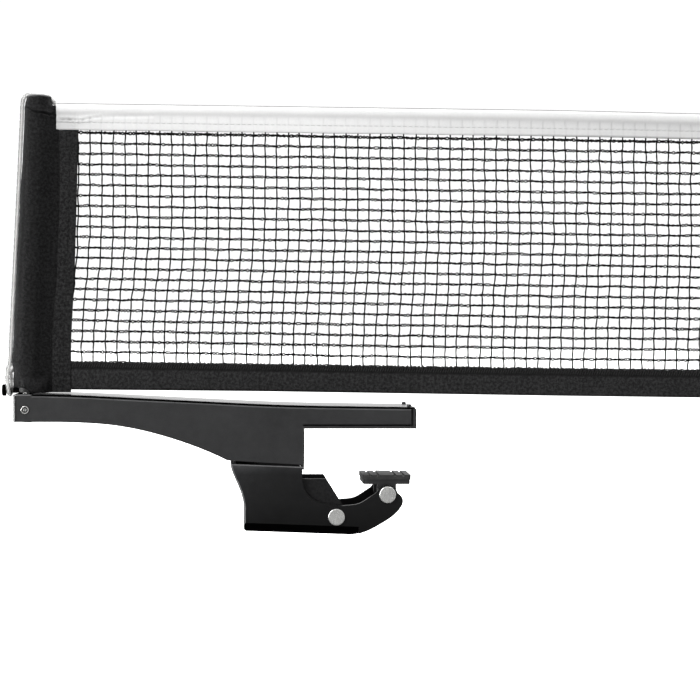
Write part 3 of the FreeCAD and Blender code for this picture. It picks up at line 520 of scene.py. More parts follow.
# painted shade: near-black faces in the groove under the strap and on the strap's front edges
second("arm_shell", shadow_black, lambda c, n: 14.0 < abs(c.y) < 14.75 and abs(n.y) > 0.8 and c.z > at(ARM_TOP, c.x + SC) - 2.5)
second("arm_strap", shadow_black, lambda c, n: abs(n.y) > 0.75 and abs(c.y) > 16.6 and c.z > at(ARM_TOP, c.x + SC) - 1.2)
# painted highlight on the arm's top fillets and its left corner fillet
second("arm_shell", casing_painted_highlight, lambda c, n: abs(c.y) > 16.2 and 0.25 < abs(n.y) < 0.985 and n.z > 0.15
       and c.z > at(ARM_TOP, c.x + SC) - 1.7)
second("arm_shell", casing_painted_highlight, lambda c, n: c.x + SC < -135.2 and 0.3 < abs(n.y) < 0.9 and n.x < -0.1)
# painted shade beside the arm's left corner fillet
second("arm_shell", corner_shade, lambda c, n: c.x + SC < -134.9 and 0.965 < abs(n.y) < 0.9995 and n.x < -0.02 and c.z < 15.0)
# painted shade on the pad's top, taking its reflection away
second("arm_shell", shadow_black, lambda c, n: c.x + SC < -128.2 and n.z > 0.95 and c.z > 15.9)
# painted shade on the lever's lower bevel
second("lever_shell", shadow_black, lambda c, n: c.z < -43.4 and n.z < -0.2)
# painted highlight on the lever's top and left edges
second("lever_shell", lever_painted_highlight, lambda c, n: (abs(c.y) > 16.2 and n.z > 0.2 and abs(n.y) > 0.2 and c.z > -18.8)
       or (abs(c.y) > 15.9 and n.x < -0.1 and 0.2 < abs(n.y) < 0.995 and c.z > -47.0 and c.x + SC < -27.0))
# painted shade in the socket screw's recess
second("socket_screws", recess_painted_shade, lambda c, n: abs(c.y) < 17.02)


# painted shade on the collar's left end, taking its highlight away
second("post_collar", shadow_black, lambda c, n: (c.x + SC < -134.5 and n.x < -0.42) or c.x + SC < -141.7)


# --------------------------------------------------------------------- cord
# Route of the tension cord: out of the tape, over the cap, down to its knot,
# round the peg and back into the knot.  Control points of one smooth line.
ROUTE = [
    (-117.6, 0.0, 153.1), (-120.7, 0.0, 157.95), (-128.0, 0.0, 158.15), (-134.15, 0.0, 158.75), (-134.4, 0.0, 147.8),
    (-139.62, 0.0, 40.7), (-140.15, 0.0, 29.9), (-141.3, -1.4, 26.0), (-141.2, -2.75, 20.5), (-140.35, -1.95, 15.25),
    (-139.95, 1.95, 15.25), (-139.8, 2.75, 18.4), (-139.75, 0.95, 27.2),
]


def smooth_line(points, order=3, res=32):
    cu = bpy.data.curves.new("route", "CURVE")
    cu.dimensions = "3D"
    sp = cu.splines.new("NURBS")
    sp.points.add(len(points) - 1)
    for p, q in zip(sp.points, points):
        p.co = (q[0], q[1], q[2], 1.0)
    sp.order_u = order
    sp.use_endpoint_u = True
    sp.resolution_u = res
    ob = bpy.data.objects.new("route", cu)
    bpy.context.scene.collection.objects.link(ob)
    bpy.context.view_layer.update()
    me = bpy.data.meshes.new_from_object(ob)
    pts = np.array([v.co[:] for v in me.vertices], float)
    bpy.data.objects.remove(ob)
    bpy.data.meshes.remove(me)
    bpy.data.curves.remove(cu)
    return pts


def even(pts, step):
    d = np.linalg.norm(np.diff(pts, axis=0), axis=1)
    s = np.concatenate([[0], np.cumsum(d)])
    n = max(int(round(s[-1] / step)), 2)
    want = np.linspace(0, s[-1], n + 1)
    return np.stack([np.interp(want, s, pts[:, k]) for k in range(3)], 1), want


def outline(b, own_line, whole_line, sides, own_r, whole_r, own, whole):
    """Painted shade on a braid: darker where a strand, and the whole cord, turns away to its sides."""
    def ss(lo_, hi_, x):
        t = np.clip((x - lo_) / (hi_ - lo_), 0, 1)
        return t * t * (3 - 2 * t)
    n = len(own_line)
    q = b.v[-1][:n * sides].reshape(n, sides, 3)
    d1 = (q - own_line[:, None, :]) / np.broadcast_to(own_r, (n,))[:, None, None]
    d2 = (q - whole_line[:, None, :]) / np.broadcast_to(whole_r, (n,))[:, None, None]
    sh = own * ss(0.7, 1.0, np.hypot(d1[..., 0], d1[..., 2])) + whole * ss(0.15, 0.75, np.maximum(-d2[..., 0], 0.8 * d2[..., 2]))
    full = np.zeros(len(b.v[-1]))
    full[:n * sides] = sh.ravel()
    b.shade[-1] = full


line_mm, run_mm = even(smooth_line(ROUTE), 0.42)
ct, cn, cb = frames(line_mm)
turn_at = run_mm[int(np.argmin(line_mm[:, 2]))]        # the lowest point, under the peg
b = Build()
back = np.array([smoothstep(turn_at + 1.5, turn_at + 4.0, s) for s in run_mm])
core = 0.62 - 0.1 * back
# painted shade: the core, seen between the strands, is painted grey
tube(b, line_mm, core, 8, fr=(ct, cn, cb), shade=0.15)
PITCH = 7.0
for hand in (1, -1):
    for k in range(4):
        phi = run_mm * (2 * math.pi / PITCH) * hand + k * math.pi / 2 + (0.4 if hand < 0 else 0)
        lift = 0.10 * np.cos(4 * run_mm * (2 * math.pi / PITCH) + (0 if hand > 0 else math.pi) + k * math.pi)
        rr = (0.65 + lift) * (1 - 0.12 * back) * (1 + 0.16 * back * np.cos(2 * math.pi * run_mm / 1.75))
        c = line_mm + rr[:, None] * (np.cos(phi)[:, None] * cn + np.sin(phi)[:, None] * cb)
        tube(b, c, 0.3 - 0.03 * back, 6)
        outline(b, c, line_mm, 6, 0.3 - 0.03 * back, 0.97 * (1 - 0.12 * back), 0.08,
                (0.95 * np.clip(run_mm / 9.0, 0.3, 1.0))[:, None])
cord = b.object("tension_cord", cord_white.m, "post", slot="cord_white")
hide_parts("net_cord", "cord_loop")

# knot: a small overhand knot, drawn tight
b = Build()
t = np.linspace(0, 2 * math.pi, 120, endpoint=False)
kx = 0.56 * (np.sin(t) + 2 * np.sin(2 * t))
kz = 0.5 * (np.cos(t) - 2 * np.cos(2 * t))
ky = -0.75 * np.sin(3 * t)
ka = 0.35
knot_pts = np.stack([-140.1 + kx * math.cos(ka) - kz * math.sin(ka), ky, 27.85 + kx * math.sin(ka) * 0.7 + kz * math.cos(ka)], 1)
kt = np.roll(knot_pts, -1, 0) - np.roll(knot_pts, 1, 0)
kt /= np.linalg.norm(kt, axis=1)[:, None]
ref = np.array([0.15, 1.0, 0.1])
k1 = ref - kt * (kt @ ref)[:, None]
k1 /= np.linalg.norm(k1, axis=1)[:, None]
tube(b, knot_pts, 0.8 + 0.06 * np.cos(t * 22), 10, closed=True, fr=(kt, k1, np.cross(kt, k1)))
# painted shade on the knot's strands and sides
outline(b, knot_pts, np.array([-140.1, 0.0, 27.85]) + 0 * knot_pts, 10, 0.8, 2.3, 0.12, 0.45)
knot = b.object("tension_cord_knot", cord_white.m, "post", slot="cord_white")
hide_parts("cord_knot")

# ---------------------------------------------------------------------- net
SEAM = [(-118.25, 153.6), (-118.25, 142.0), (-117.4, 141.8), (-117.0, 132.3), (-117.2, 103.6), (-118.6, 68.7),
        (-120.4, 43.8), (-120.6, 16.5)]
BAND_RIGHT = [(-107.6, 141.8), (-108.2, 112.7), (-109.3, 74.0), (-111.0, 41.4), (-111.0, 16.5)]
TAPE_TOP = [(-118.0, 154.6), (123.0, 151.2), (205.0, 149.2)]
TAPE_LOW = [(-118.0, 142.05), (123.0, 138.9), (205.0, 137.2)]
HEM_TOP = [(-111.0, 31.0), (123.0, 27.6), (205.0, 26.5)]
HEM_LOW = [(-111.0, 17.7), (-20.0, 16.9), (123.0, 14.7), (205.0, 13.7)]
LEAN = math.tan(math.radians(2.2))


def by_height(points, z):
    return at([(q, p) for p, q in points], z)


def axis_x(z):
    return -131.4 + (z - 18.5) * LEAN


def col_x(i, r):
    """Station of net column i at row r."""
    px = 78.2 + 11.72 * i - 0.0029 * i * i
    lean = 8.3 - 5.2 * i / 53.0
    s = min(max((r - 8.5) / 12.5, 0.0), 1.0)
    return -37.3 + (px - lean * s * s * (3 - 2 * s) - 225) / 2.09


def row_z(r, x):
    """Height of net row r at station x."""
    top = 140.60 - (x + 108) * (2.75 / 189.0) * 0.55
    px = (x + 37.3) * 2.09 + 225
    y0 = 132.7 + (px - 77) * 0.01532 if px < 560 else 140.1 + (px - 560) * 0.01714
    y1 = 362.0 + (px - 80) * 0.01543 if px < 540 else 369.1 + (px - 540) * 0.0094
    y = y0 + (y1 - y0) * r / 22.0
    return 52.9 + (316 - y) / 2.09


rnd = random.Random(41)
ROWS, COLS = 23, 55
NET_R = 197.5
jig = {(i, r): (rnd.uniform(-0.28, 0.28), rnd.uniform(-0.22, 0.22)) for i in range(COLS) for r in range(-1, ROWS + 1)}


def crossing(i, r):
    jx, jz = jig[(i, r)]
    x = col_x(i, r) + (jx if r >= 0 else jx * 0.4)
    return x, row_z(r, x) + jz * 0.9


strands = [Build(), Build()]
for r in range(ROWS):
    zs = 1.22 if r == 0 else 1.0
    left = by_height(BAND_RIGHT, row_z(r, -109)) - 1.6
    knots_x = [crossing(i, r) for i in range(COLS)]
    xs = np.arange(left, NET_R, 0.36)
    kx = np.array([k[0] for k in knots_x])
    kz = np.array([k[1] - row_z(r, k[0]) for k in knots_x])
    dz = np.interp(xs, kx, kz)
    base = np.array([row_z(r, x) for x in xs])
    wave = np.array([0.2 * bumpy(x, r * 9.0, 0, 3.4, 1.7) + 0.10 * bumpy(x, r * 5.0, 3, 1.3, 2.3) for x in xs])
    yy = np.array([0.2 * bumpy(x, r * 4.0, 7, 6.0, 3.1) for x in xs])
    ph0 = rnd.uniform(0, 6.28)
    ph = 2 * math.pi * xs / 4.6 + ph0 + np.array([1.5 * bumpy(x, r * 3.0, 1, 9.0, 4.0) for x in xs])
    eye = np.zeros_like(xs)
    for i in range(COLS - 1):
        for share, chance in ((rnd.uniform(0.2, 0.27), 0.5), (rnd.uniform(0.44, 0.56), 0.4), (rnd.uniform(0.72, 0.8), 0.5)):
            if rnd.random() < chance:
                xe = kx[i] + (kx[i + 1] - kx[i]) * share
                eye = np.maximum(eye, rnd.uniform(0.75, 1.1) * np.exp(-np.abs((xs - xe) / 0.44) ** 3))
    open_ = np.minimum(eye, 1.0)
    for k in (0, 1):
        amp = 0.24 * zs
        oz = (1 - open_) * amp * np.cos(ph + math.pi * k) + eye * (0.63 if k else -0.63)
        oy = (1 - open_) * amp * np.sin(ph + math.pi * k)
        pts = np.stack([xs, yy + oy, base + dz + wave + oz], 1)
        rad = (0.37 + 0.12 * np.sin(xs * 5.3 + r * 2.3 + k * 1.9 + 1.8 * np.sin(xs * 0.9 + r)) * (1 - open_) - 0.09 * open_) * zs
        tube(strands[k], pts, rad, 5)
rows_a = strands[0].object("net_rows_front", twine.m, "post", slot="mesh_twine")
rows_b = strands[1].object("net_rows_back", twine.m, "post", slot="mesh_twine")

b = Build()
for i in range(COLS):
    pts = [(col_x(i, 0) + rnd.uniform(-0.3, 0.3), row_z(0, col_x(i, 0)) + 5.6), (crossing(i, 0)[0] + rnd.uniform(-0.2, 0.2), row_z(0, col_x(i, 0)) + 2.4)]
    pts += [crossing(i, r) for r in range(ROWS)]
    x, z = pts[-1]
    pts.append((x - 0.25, z - 2.2))
    dense = []
    for (xa, za), (xb, zb) in zip(pts, pts[1:]):
        bow = rnd.uniform(-0.22, 0.22)
        for s in np.linspace(0, 1, 5)[:-1]:
            dense.append((xa + (xb - xa) * s + bow * math.sin(math.pi * s), za + (zb - za) * s))
    dense.append(pts[-1])
    d = np.array(dense)
    limit = np.array([by_height(BAND_RIGHT, min(max(z, 16.6), 141.7)) - 0.9 for z in d[:, 1]])
    d[:, 0] = np.maximum(d[:, 0], limit)
    yy = np.array([0.25 * math.sin(k * math.pi / 4 + i) for k in range(len(d))]) * 0.6
    tube(b, np.stack([d[:, 0], yy, d[:, 1]], 1), 0.37 + 0.04 * np.sin(np.arange(len(d)) * 2.4 + i), 5)
cols = b.object("net_columns", twine.m, "post", slot="mesh_twine")

b = Build()
a = np.linspace(0, 2 * math.pi * 1.2, 13)
for r in range(ROWS):
    for i in range(COLS):
        x, z = crossing(i, r)
        if x < by_height(BAND_RIGHT, z) - 0.5 or x > 196.5:
            continue
        size = rnd.uniform(0.85, 1.2) * (1.12 if r == 0 else 1.0)
        tilt = rnd.uniform(-0.5, 0.5)
        spin = rnd.uniform(0, 6.28)
        px = np.linspace(-0.3, 0.3, len(a)) * size
        rad = 0.5 * size * (1 + 0.12 * np.sin(a * 2 + spin))
        py, pz = rad * np.cos(a + spin), rad * np.sin(a + spin)
        qx = px * math.cos(tilt) - pz * math.sin(tilt)
        qz = px * math.sin(tilt) + pz * math.cos(tilt)
        tube(b, np.stack([x + qx, py, z + qz], 1), 0.21 * size, 4)
net_knots = b.object("net_knots", twine.m, "post", slot="mesh_twine")
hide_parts("net_mesh")


# ---------------------------------------------------- folded bands and tape
class Fold:
    """A strip folded in two along its length, open along one edge.

    place(L, a, y): point for the distance L along the strip, a from the fold to the open
    edge and y across; width(L): from fold to open edge."""

    def __init__(self, place, width, half, thick, bulge=0.0, deep=1.5, lip=0.0, lip_high=0.0, waist=0.0, relief=None, shade=None):
        self.place, self.width, self.half, self.thick = place, width, half, thick
        self.bulge, self.deep, self.lip, self.lip_high, self.waist = bulge, deep, lip, lip_high, waist
        self.relief = relief or (lambda L, a, s: 0.0)
        self.shade = shade or (lambda L, a, s: 0.0)

    def outer_y(self, a, w):
        y = self.half
        if self.bulge:
            c, e = self.bulge, self.deep
            if a < c:
                y = e * math.sqrt(max(1.0 - ((a - c) / c) ** 2, 0.0))
            else:
                y = e + (self.half - self.waist - e) * smoothstep(c + 0.3, c + 3.1, a)
                y += self.waist * smoothstep(c + 3.3, c + 7.4, a)
        else:
            r = self.half
            if a < r:
                y = math.sqrt(max(r * r - (r - a) ** 2, 0.0))
        if self.lip:
            d = w - a
            y += self.lip_high * (1 - smoothstep(self.lip - 0.15, self.lip + 0.3, d))
        return y

    def surface(self, L, a, side, lift=0.0):
        w = self.width(L)
        y = self.outer_y(a, w) + self.relief(L, a, side) + lift
        return self.place(L, a, side * y)

    def build(self, b, stations, n_flat, n_fold):
        outer, inner, cl, sh = [], [], [], []
        fold_end = 2.0 * self.bulge if self.bulge else self.half
        for L in stations:
            w = self.width(L)
            if self.bulge:
                ang = np.linspace(0, math.pi * 0.5, n_fold)
                af = self.bulge * (1 - np.cos(ang))
                aflat = np.concatenate([np.linspace(af[-1], fold_end + 4.0, 11)[1:],
                                        np.linspace(fold_end + 4.0, w, n_flat)[1:]])
            else:
                ang = np.linspace(0, math.pi / 2, n_fold)
                af = self.half * (1 - np.cos(ang))
                aflat = np.linspace(af[-1], w, n_flat)[1:]
            aa = np.concatenate([af, aflat])
            ro, ri, rc, rs = [], [], [], []
            order = [(a, -1) for a in aa[::-1]] + [(a, 1) for a in aa[1:]]
            for a, side in order:
                y = self.outer_y(a, w)
                e = self.relief(L, a, side) * min(a / max(fold_end, 0.5), 1.0)
                p = self.place(L, a, side * (y + e))
                yi = max(y - self.thick, 0.0)
                ai = a + self.thick * (1 - min(a / fold_end, 1.0)) if a < fold_end else a
                if a < fold_end:
                    yi = y * (1 - self.thick / fold_end) if not self.bulge else y * (1 - self.thick / self.deep)
                    yi = min(yi, max(y - 0.05, 0.0))
                q = self.place(L, ai, side * max(yi + e * 0.9, 0.06 if a > fold_end else 0.0))
                ro.append(p)
                ri.append(q)
                rc.append((side * a, L, 0.0))
                rs.append(self.shade(L, a, side))
            outer.append(ro)
            inner.append(ri)
            cl.append(rc)
            sh.append(rs)
        skin(b, outer, inner, cl, sh)


def stitches(b, fold, points, side, pitch_dir, length, radius, lift=0.08, sides=5):
    """Thread stitches lying on a fold: points are (L, a); each dips into the cloth at its ends."""
    for L, a in points:
        seg = []
        for s in np.linspace(-0.5, 0.5, 6):
            LL, aa = L + s * length * pitch_dir[0], a + s * length * pitch_dir[1]
            up = lift - 0.28 * (abs(s) * 2) ** 4
            seg.append(fold.surface(LL, aa, side, up))
        tube(b, seg, radius, sides)


# white top tape, folded over the cord that runs through it
def tape_place(L, a, y):
    return (L, y, at(TAPE_TOP, L) - a)


def tape_width(L):
    return at(TAPE_TOP, L) - at(TAPE_LOW, L) + 0.05 * math.sin(L / 9.0)


TAPE_CREASES = [((-116.5, -7.5), (-106.7, -8.0), 0.8, 0.8), ((-106.7, -8.0), (-101.9, -7.0), 0.55, 0.9),
                ((-101.9, -7.0), (-97.0, -6.3), 0.4, 0.9), ((-112.5, -6.6), (-109.5, -9.9), 0.3, 0.7),
                ((-97.0, -6.3), (-72.0, -5.4), 0.28, 1.2)]


def seg_dist(px, pz, a, c):
    ax, az = a
    bx, bz = c
    vx, vz = bx - ax, bz - az
    t = ((px - ax) * vx + (pz - az) * vz) / (vx * vx + vz * vz)
    t = min(max(t, 0.0), 1.0)
    return math.hypot(px - ax - vx * t, pz - az - vz * t), t


def crease(L, a, creases):
    dip = 0.0
    for p, q, deep, wide in creases:
        dd, t = seg_dist(L, -a, p, q)
        if dd < wide * 3:
            dip -= deep * math.exp(-(dd / (wide * 0.45)) ** 2) * (0.35 + 0.65 * math.sin(math.pi * min(max(t, 0.05), 0.95)))
            dip += deep * 0.45 * math.exp(-((dd - wide) / (wide * 0.6)) ** 2)
    return dip


COLUMN_TOP = [col_x(i, -0.6) for i in range(COLS)]


def ghost(L, a):
    """The net's columns, felt through the tape: a ridge, stronger above the stitch line."""
    if a < 4.6:
        return 0.0
    k = int(round((L + 107.6) / 5.53))
    best = 9.0
    for j in (k - 1, k, k + 1):
        if 0 <= j < COLS:
            best = min(best, abs(L - COLUMN_TOP[j] - (a - 9.0) * 0.09 * math.sin(j * 1.7)))
    return math.exp(-(best / 0.32) ** 2) * smoothstep(4.6, 6.0, a)


def tape_relief(L, a, side):
    e = 0.10 * bumpy(L, a * 1.6, side * 3.0, 9.0, 1.1) + 0.05 * bumpy(L, a, side * 5.0, 3.2, 2.2)
    e += 0.05 * math.sin(L / 5.53 * 2 * math.pi + 1.1) * smoothstep(4.0, 8.0, a)
    e += 0.07 * ghost(L, a) * (1.0 if a < tape_width(L) - 3.6 else 0.45)
    if side < 0:
        e += crease(L, a, TAPE_CREASES)
    d = tape_width(L) - a
    e -= 0.09 * math.exp(-((d - 3.6) / 0.35) ** 2)
    return e


# painted shade on the tape's flat part below its corded top, heavier towards both ends
TAPE_FLAT_SHADE = [(-118.0, 0.37), (-108.6, 0.32), (-108.2, 0.22), (-90.0, 0.12), (-6.0, 0.05), (70.0, 0.11), (164.0, 0.2), (205.0, 0.22)]


# Painted shade on the tape: along its top outline, its lower edge and the stitch line, below the corded top, in the
# creases and over its back side; the net's columns felt through it are darker too.
def tape_shade(L, a, side):
    s = (0.12 + 0.1 * smoothstep(20.0, 120.0, L)) * ghost(L, a) * (1.0 if a < tape_width(L) - 3.6 else 0.45)
    d = tape_width(L) - a
    s += 0.3 * math.exp(-((d - 3.6) / 0.32) ** 2) * (0.65 + 0.35 * math.cos(2 * math.pi * L / 2.75))
    s += 0.97 * (1 - smoothstep(0.2, 0.5, a)) + (0.16 + 0.24 * smoothstep(60.0, 150.0, L)) * (1 - smoothstep(0.3, 1.1, d))
    flat = at(TAPE_FLAT_SHADE, L)
    s += flat * smoothstep(3.0, 5.2, a)
    low = 4.5 + 0.5 * smoothstep(40.0, 140.0, L)
    s += (0.06 * smoothstep(-105.0, -60.0, L) + 0.08 * smoothstep(0.0, 140.0, L)) * math.exp(-((a - low) / (0.9 if a < low else 2.1)) ** 2)
    if side > 0:
        s = min(s + 0.42 * smoothstep(0.4, 2.4, a), 0.8)
    if side < 0:
        for p, q, deep, wide in TAPE_CREASES[:4]:
            dd, t = seg_dist(L, -a, p, q)
            s += 0.34 * deep * math.exp(-(dd / (wide * 0.5)) ** 2) * (0.55 + 0.45 * math.sin(L * 1.9))
    return min(s, 0.98)


tape_fold = Fold(tape_place, tape_width, 0.98, 0.42, bulge=2.5, deep=1.6, lip=0.0, waist=0.18, relief=tape_relief, shade=tape_shade)
b = Build()
tape_fold.build(b, np.concatenate([np.arange(-118.0, -90.0, 0.4), np.arange(-90.0, 205.0, 0.62), [205.0]]), 18, 12)
tape = b.object("top_tape", tape_white.m, "post", slot="tape_white")
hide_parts("net_tape")
b = Build()
for side in (-1, 1):
    pts = [(L, tape_width(L) - 3.6) for L in np.arange(-116.4, 204.0, 2.75)]
    stitches(b, tape_fold, pts, side, (1, 0), 2.3, 0.13, 0.06)
tape_thread = b.object("top_tape_stitches", white_thread.m, "post", slot="tape_white")
# painted shade: a thin grey thread along the tape's fold
b = Build()
xs = np.arange(-117.8, 204.8, 1.2)
tube(b, np.stack([xs, 0 * xs, np.array([at(TAPE_TOP, x) for x in xs]) + 0.02], 1), 0.2, 6)
tape_edge = b.object("top_tape_edge", edge_thread.m, "post", slot="tape_white")

# the cord's run inside the tape
b = Build()
xs = np.arange(-117.4, 204.6, 1.0)
inner = np.stack([xs, 0 * xs, np.array([at(TAPE_TOP, x) for x in xs]) - 1.75], 1)
for k in range(4):
    ph = 2 * math.pi * xs / 7.0 + k * math.pi / 2
    tube(b, inner + 0.42 * np.stack([0 * xs, np.cos(ph), np.sin(ph)], 1), 0.46, 6)
inner_cord = b.object("tape_inner_cord", cord_white.m, "post", slot="cord_white")


# black bottom band, folded along its lower edge
def hem_place(L, a, y):
    return (L, y, at(HEM_LOW, L) + a)


def hem_width(L):
    return at(HEM_TOP, L) - at(HEM_LOW, L) + 0.14 * bumpy(L, 0, 0, 2.2, 5.0) + 0.22 * bumpy(L, 0, 0, 0.85, 5.5)


def hem_relief(L, a, side):
    w = hem_width(L)
    e = 0.07 * bumpy(L, a, side * 4.0, 8.0, 6.1) + 0.03 * bumpy(L, a * 0.4, side * 4.0, 1.6, 7.1)
    e -= 0.22 * math.exp(-((w - a - 3.3) / 0.3) ** 2)
    return e


def hem_shade(L, a, side):
    d = hem_width(L) - a
    return min(0.75 * (1 - smoothstep(3.0, 3.6, d)) + 0.25 * math.exp(-((d - 3.4) / 0.35) ** 2), 0.9)


hem_fold = Fold(hem_place, hem_width, 1.05, 0.42, lip=3.2, lip_high=0.05, relief=hem_relief, shade=hem_shade)
b = Build()
hem_fold.build(b, np.concatenate([np.arange(-110.9, 196.4, 0.75), [196.4]]), 22, 6)
hem = b.object("bottom_band", hem_cloth.m, "post", slot="band_cloth")
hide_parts("net_bottom_band")
b = Build()
for side in (-1, 1):
    xs = np.arange(-110.2, 196.0, 0.42)
    zig = []
    for k, L in enumerate(xs):
        a = hem_width(L) - 0.15 + 0.66 * math.sin(L * 2 * math.pi / 1.9) + 0.45 * bumpy(L, side, 0, 1.1, 8.0)
        y = side * (1.15 + 0.12 * math.cos(L * 2 * math.pi / 1.9)) * (0.55 if a > hem_width(L) + 0.2 else 1.0)
        zig.append(hem_place(L, a, y))
    tube(b, zig, 0.23, 5)
    stitches(b, hem_fold, [(L, hem_width(L) - 1.55) for L in np.arange(-110.0, 195.6, 1.15)], side, (0.42, 0.9), 2.4, 0.17, 0.07)
hem_thread = b.object("bottom_band_overlock", black_thread.m, "post", slot="band_cloth")


# side band, folded along the seam, over the net's edge
def side_place(L, a, y):
    z = L
    return (by_height(SEAM[2:], min(z, 141.8)) - 0.5 + a, y, z)


def side_width(L):
    return by_height(BAND_RIGHT, min(L, 141.8)) - by_height(SEAM[2:], min(L, 141.8)) + 0.5


SIDE_CREASES = [((25.1, -1.0), (25.2, -8.6), 0.6, 0.5), ((44.0, -2.0), (41.5, -8.0), 0.15, 0.9),
                ((61.0, -1.2), (60.0, -5.0), 0.12, 0.8), ((131.0, -3.0), (134.0, -8.5), 0.14, 0.9)]


def side_relief(L, a, side):
    e = 0.16 * bumpy(a, L * 0.45, side * 6.0, 4.0, 9.3) + 0.12 * bumpy(a, L, side * 6.0, 1.8, 10.1)
    w = side_width(L)
    e -= 0.30 * math.exp(-((w - a - 3.25) / 0.3) ** 2)
    e -= 0.25 * math.exp(-((a - 1.0) / 0.3) ** 2)
    if side < 0:
        e += crease(L, a, SIDE_CREASES)
    return e


def side_shade(L, a, side):
    w = side_width(L)
    s = 0.6 * math.exp(-((w - a - 3.25) / 0.28) ** 2) + 0.5 * math.exp(-((a - 1.0) / 0.3) ** 2)
    if side < 0:
        for p, q, deep, wide in SIDE_CREASES:
            dd, t = seg_dist(L, -a, p, q)
            s += 1.2 * deep * math.exp(-(dd / (wide * 0.6)) ** 2)
    return min(s, 0.9)


side_fold = Fold(side_place, side_width, 1.15, 0.45, lip=3.25, lip_high=0.2, relief=side_relief, shade=side_shade)
b = Build()
side_fold.build(b, np.concatenate([np.arange(16.5, 141.8, 0.55), [141.8]]), 26, 6)
side_band = b.object("side_band", band_cloth.m, "post", slot="band_cloth")
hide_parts("net_side_band")
b = Build()
for side in (-1, 1):
    stitches(b, side_fold, [(L, side_width(L) - 3.25) for L in np.arange(18.0, 141.0, 2.4)], side, (1, 0), 1.9, 0.07, 0.06)
    stitches(b, side_fold, [(L, 1.0) for L in np.arange(18.0, 141.0, 2.4)], side, (1, 0), 1.9, 0.07, 0.06)
side_thread = b.object("side_band_stitches", black_thread.m, "post", slot="band_cloth")


# end band, folded along the net's finished end
def end_place(L, a, y):
    return (205.0 - a, y, L)


def end_width(L):
    return 9.0


def end_relief(L, a, side):
    return (0.09 * bumpy(a, L * 0.5, side * 6.0, 4.0, 12.3) + 0.05 * bumpy(a, L, side * 6.0, 1.6, 13.1)
            - 0.2 * math.exp(-((9.0 - a - 2.2) / 0.3) ** 2) - 0.15 * math.exp(-((a - 2.0) / 0.3) ** 2))


def end_shade(L, a, side):
    return 0.5 * math.exp(-((9.0 - a - 2.2) / 0.28) ** 2) + 0.4 * math.exp(-((a - 2.0) / 0.3) ** 2)


end_fold = Fold(end_place, end_width, 1.15, 0.45, lip=2.2, lip_high=0.12, relief=end_relief, shade=end_shade)
b = Build()
end_fold.build(b, np.linspace(13.8, 137.1, 200), 16, 6)
end_band = b.object("end_band", band_cloth.m, "post", slot="band_cloth")
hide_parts("net_end_band")
b = Build()
for side in (-1, 1):
    stitches(b, end_fold, [(L, 6.8) for L in np.arange(15.0, 136.5, 2.4)], side, (1, 0), 1.9, 0.16, 0.06)
    stitches(b, end_fold, [(L, 2.0) for L in np.arange(15.0, 136.5, 2.4)], side, (1, 0), 1.9, 0.16, 0.06)
end_thread = b.object("end_band_stitches", black_thread.m, "post", slot="band_cloth")

# ------------------------------------------------------------------- sleeve
# One piece of cloth round the post, its two edges sewn together at the seam.
SLEEVE_R = 6.62
CLOTH = 0.45
TAIL, ROUND = 16, 66
SLEEVE_FOLDS = [((-132.1, 152.7), (-128.9, 150.4), 0.4, 0.9), ((-128.9, 150.4), (-126.3, 149.5), 0.6, 0.95),
                ((-126.3, 149.5), (-124.3, 149.6), 0.5, 0.9), ((-124.3, 149.6), (-121.0, 148.8), 0.7, 0.95),
                ((-121.0, 148.8), (-119.4, 149.3), 0.6, 0.9), ((-125.6, 39.6), (-121.2, 39.9), 0.5, 0.6),
                ((-124.5, 35.4), (-121.0, 35.6), 0.3, 0.5), ((-126.2, 24.0), (-121.3, 26.2), 0.22, 0.8),
                ((-122.5, 118.0), (-118.6, 121.0), 0.14, 0.9), ((-123.4, 86.0), (-119.6, 84.0), 0.14, 0.9),
                ((-124.5, 62.0), (-120.6, 60.5), 0.14, 0.9), ((-132.5, 147.0), (-127.0, 144.2), 0.12, 1.0)]


def tail_end(z):
    if z > 153.5:
        return None
    if z > 142.0:
        return -117.9
    return by_height(SEAM[2:], min(z, 141.8)) + 0.7


def section(z, off):
    """Points of the sleeve's section at height z, off millimetres inside its outer face."""
    r = SLEEVE_R - off
    if z < 149.6:
        r -= 0.04 * (1 - smoothstep(146.0, 149.6, z))
    end = tail_end(z)
    tip = (0.9 if z < 142 else 0.8) - off * 0.85
    cx = axis_x(z)
    pts = []
    if end is None:
        a_t = math.radians(38)
        tail = [(r * math.cos(a), r * math.sin(a)) for a in np.linspace(math.asin(max(tip, 0.2) / r), a_t, TAIL)]
    else:
        reach = end - cx
        d = math.hypot(reach, tip)
        a_t = math.atan2(tip, reach) + math.acos(min(r / d, 1.0))
        tx, ty = r * math.cos(a_t), r * math.sin(a_t)
        tail = []
        for s in np.linspace(0, 1, TAIL):
            x = reach + (tx - reach) * s
            y = tip + (ty - tip) * s
            y -= 0.35 * math.sin(math.pi * s) * smoothstep(16, 60, z) * (1 - smoothstep(120, 150, z))
            tail.append((x, y))
    arc = [(r * math.cos(a), r * math.sin(a)) for a in np.linspace(a_t, 2 * math.pi - a_t, ROUND)][1:-1]
    front = [(x, -y) for x, y in tail]
    back_ = [(x, y) for x, y in reversed(tail)]
    ring = front + [(x, -y) for x, y in arc] + back_
    return [(cx + x, y, z) for x, y in ring], [x for x, y in ring], [y for x, y in ring]


def top_edge(x, y, z):
    """The cloth's upper edge, slit where the cord passes over the cap on its left and right."""
    ang = abs(math.atan2(y, x))                       # 0 towards the net, pi outwards
    slit = max(1 - smoothstep(0.30, 0.52, ang), smoothstep(math.pi - 0.46, math.pi - 0.26, ang))
    return 157.35 - 3.9 * slit


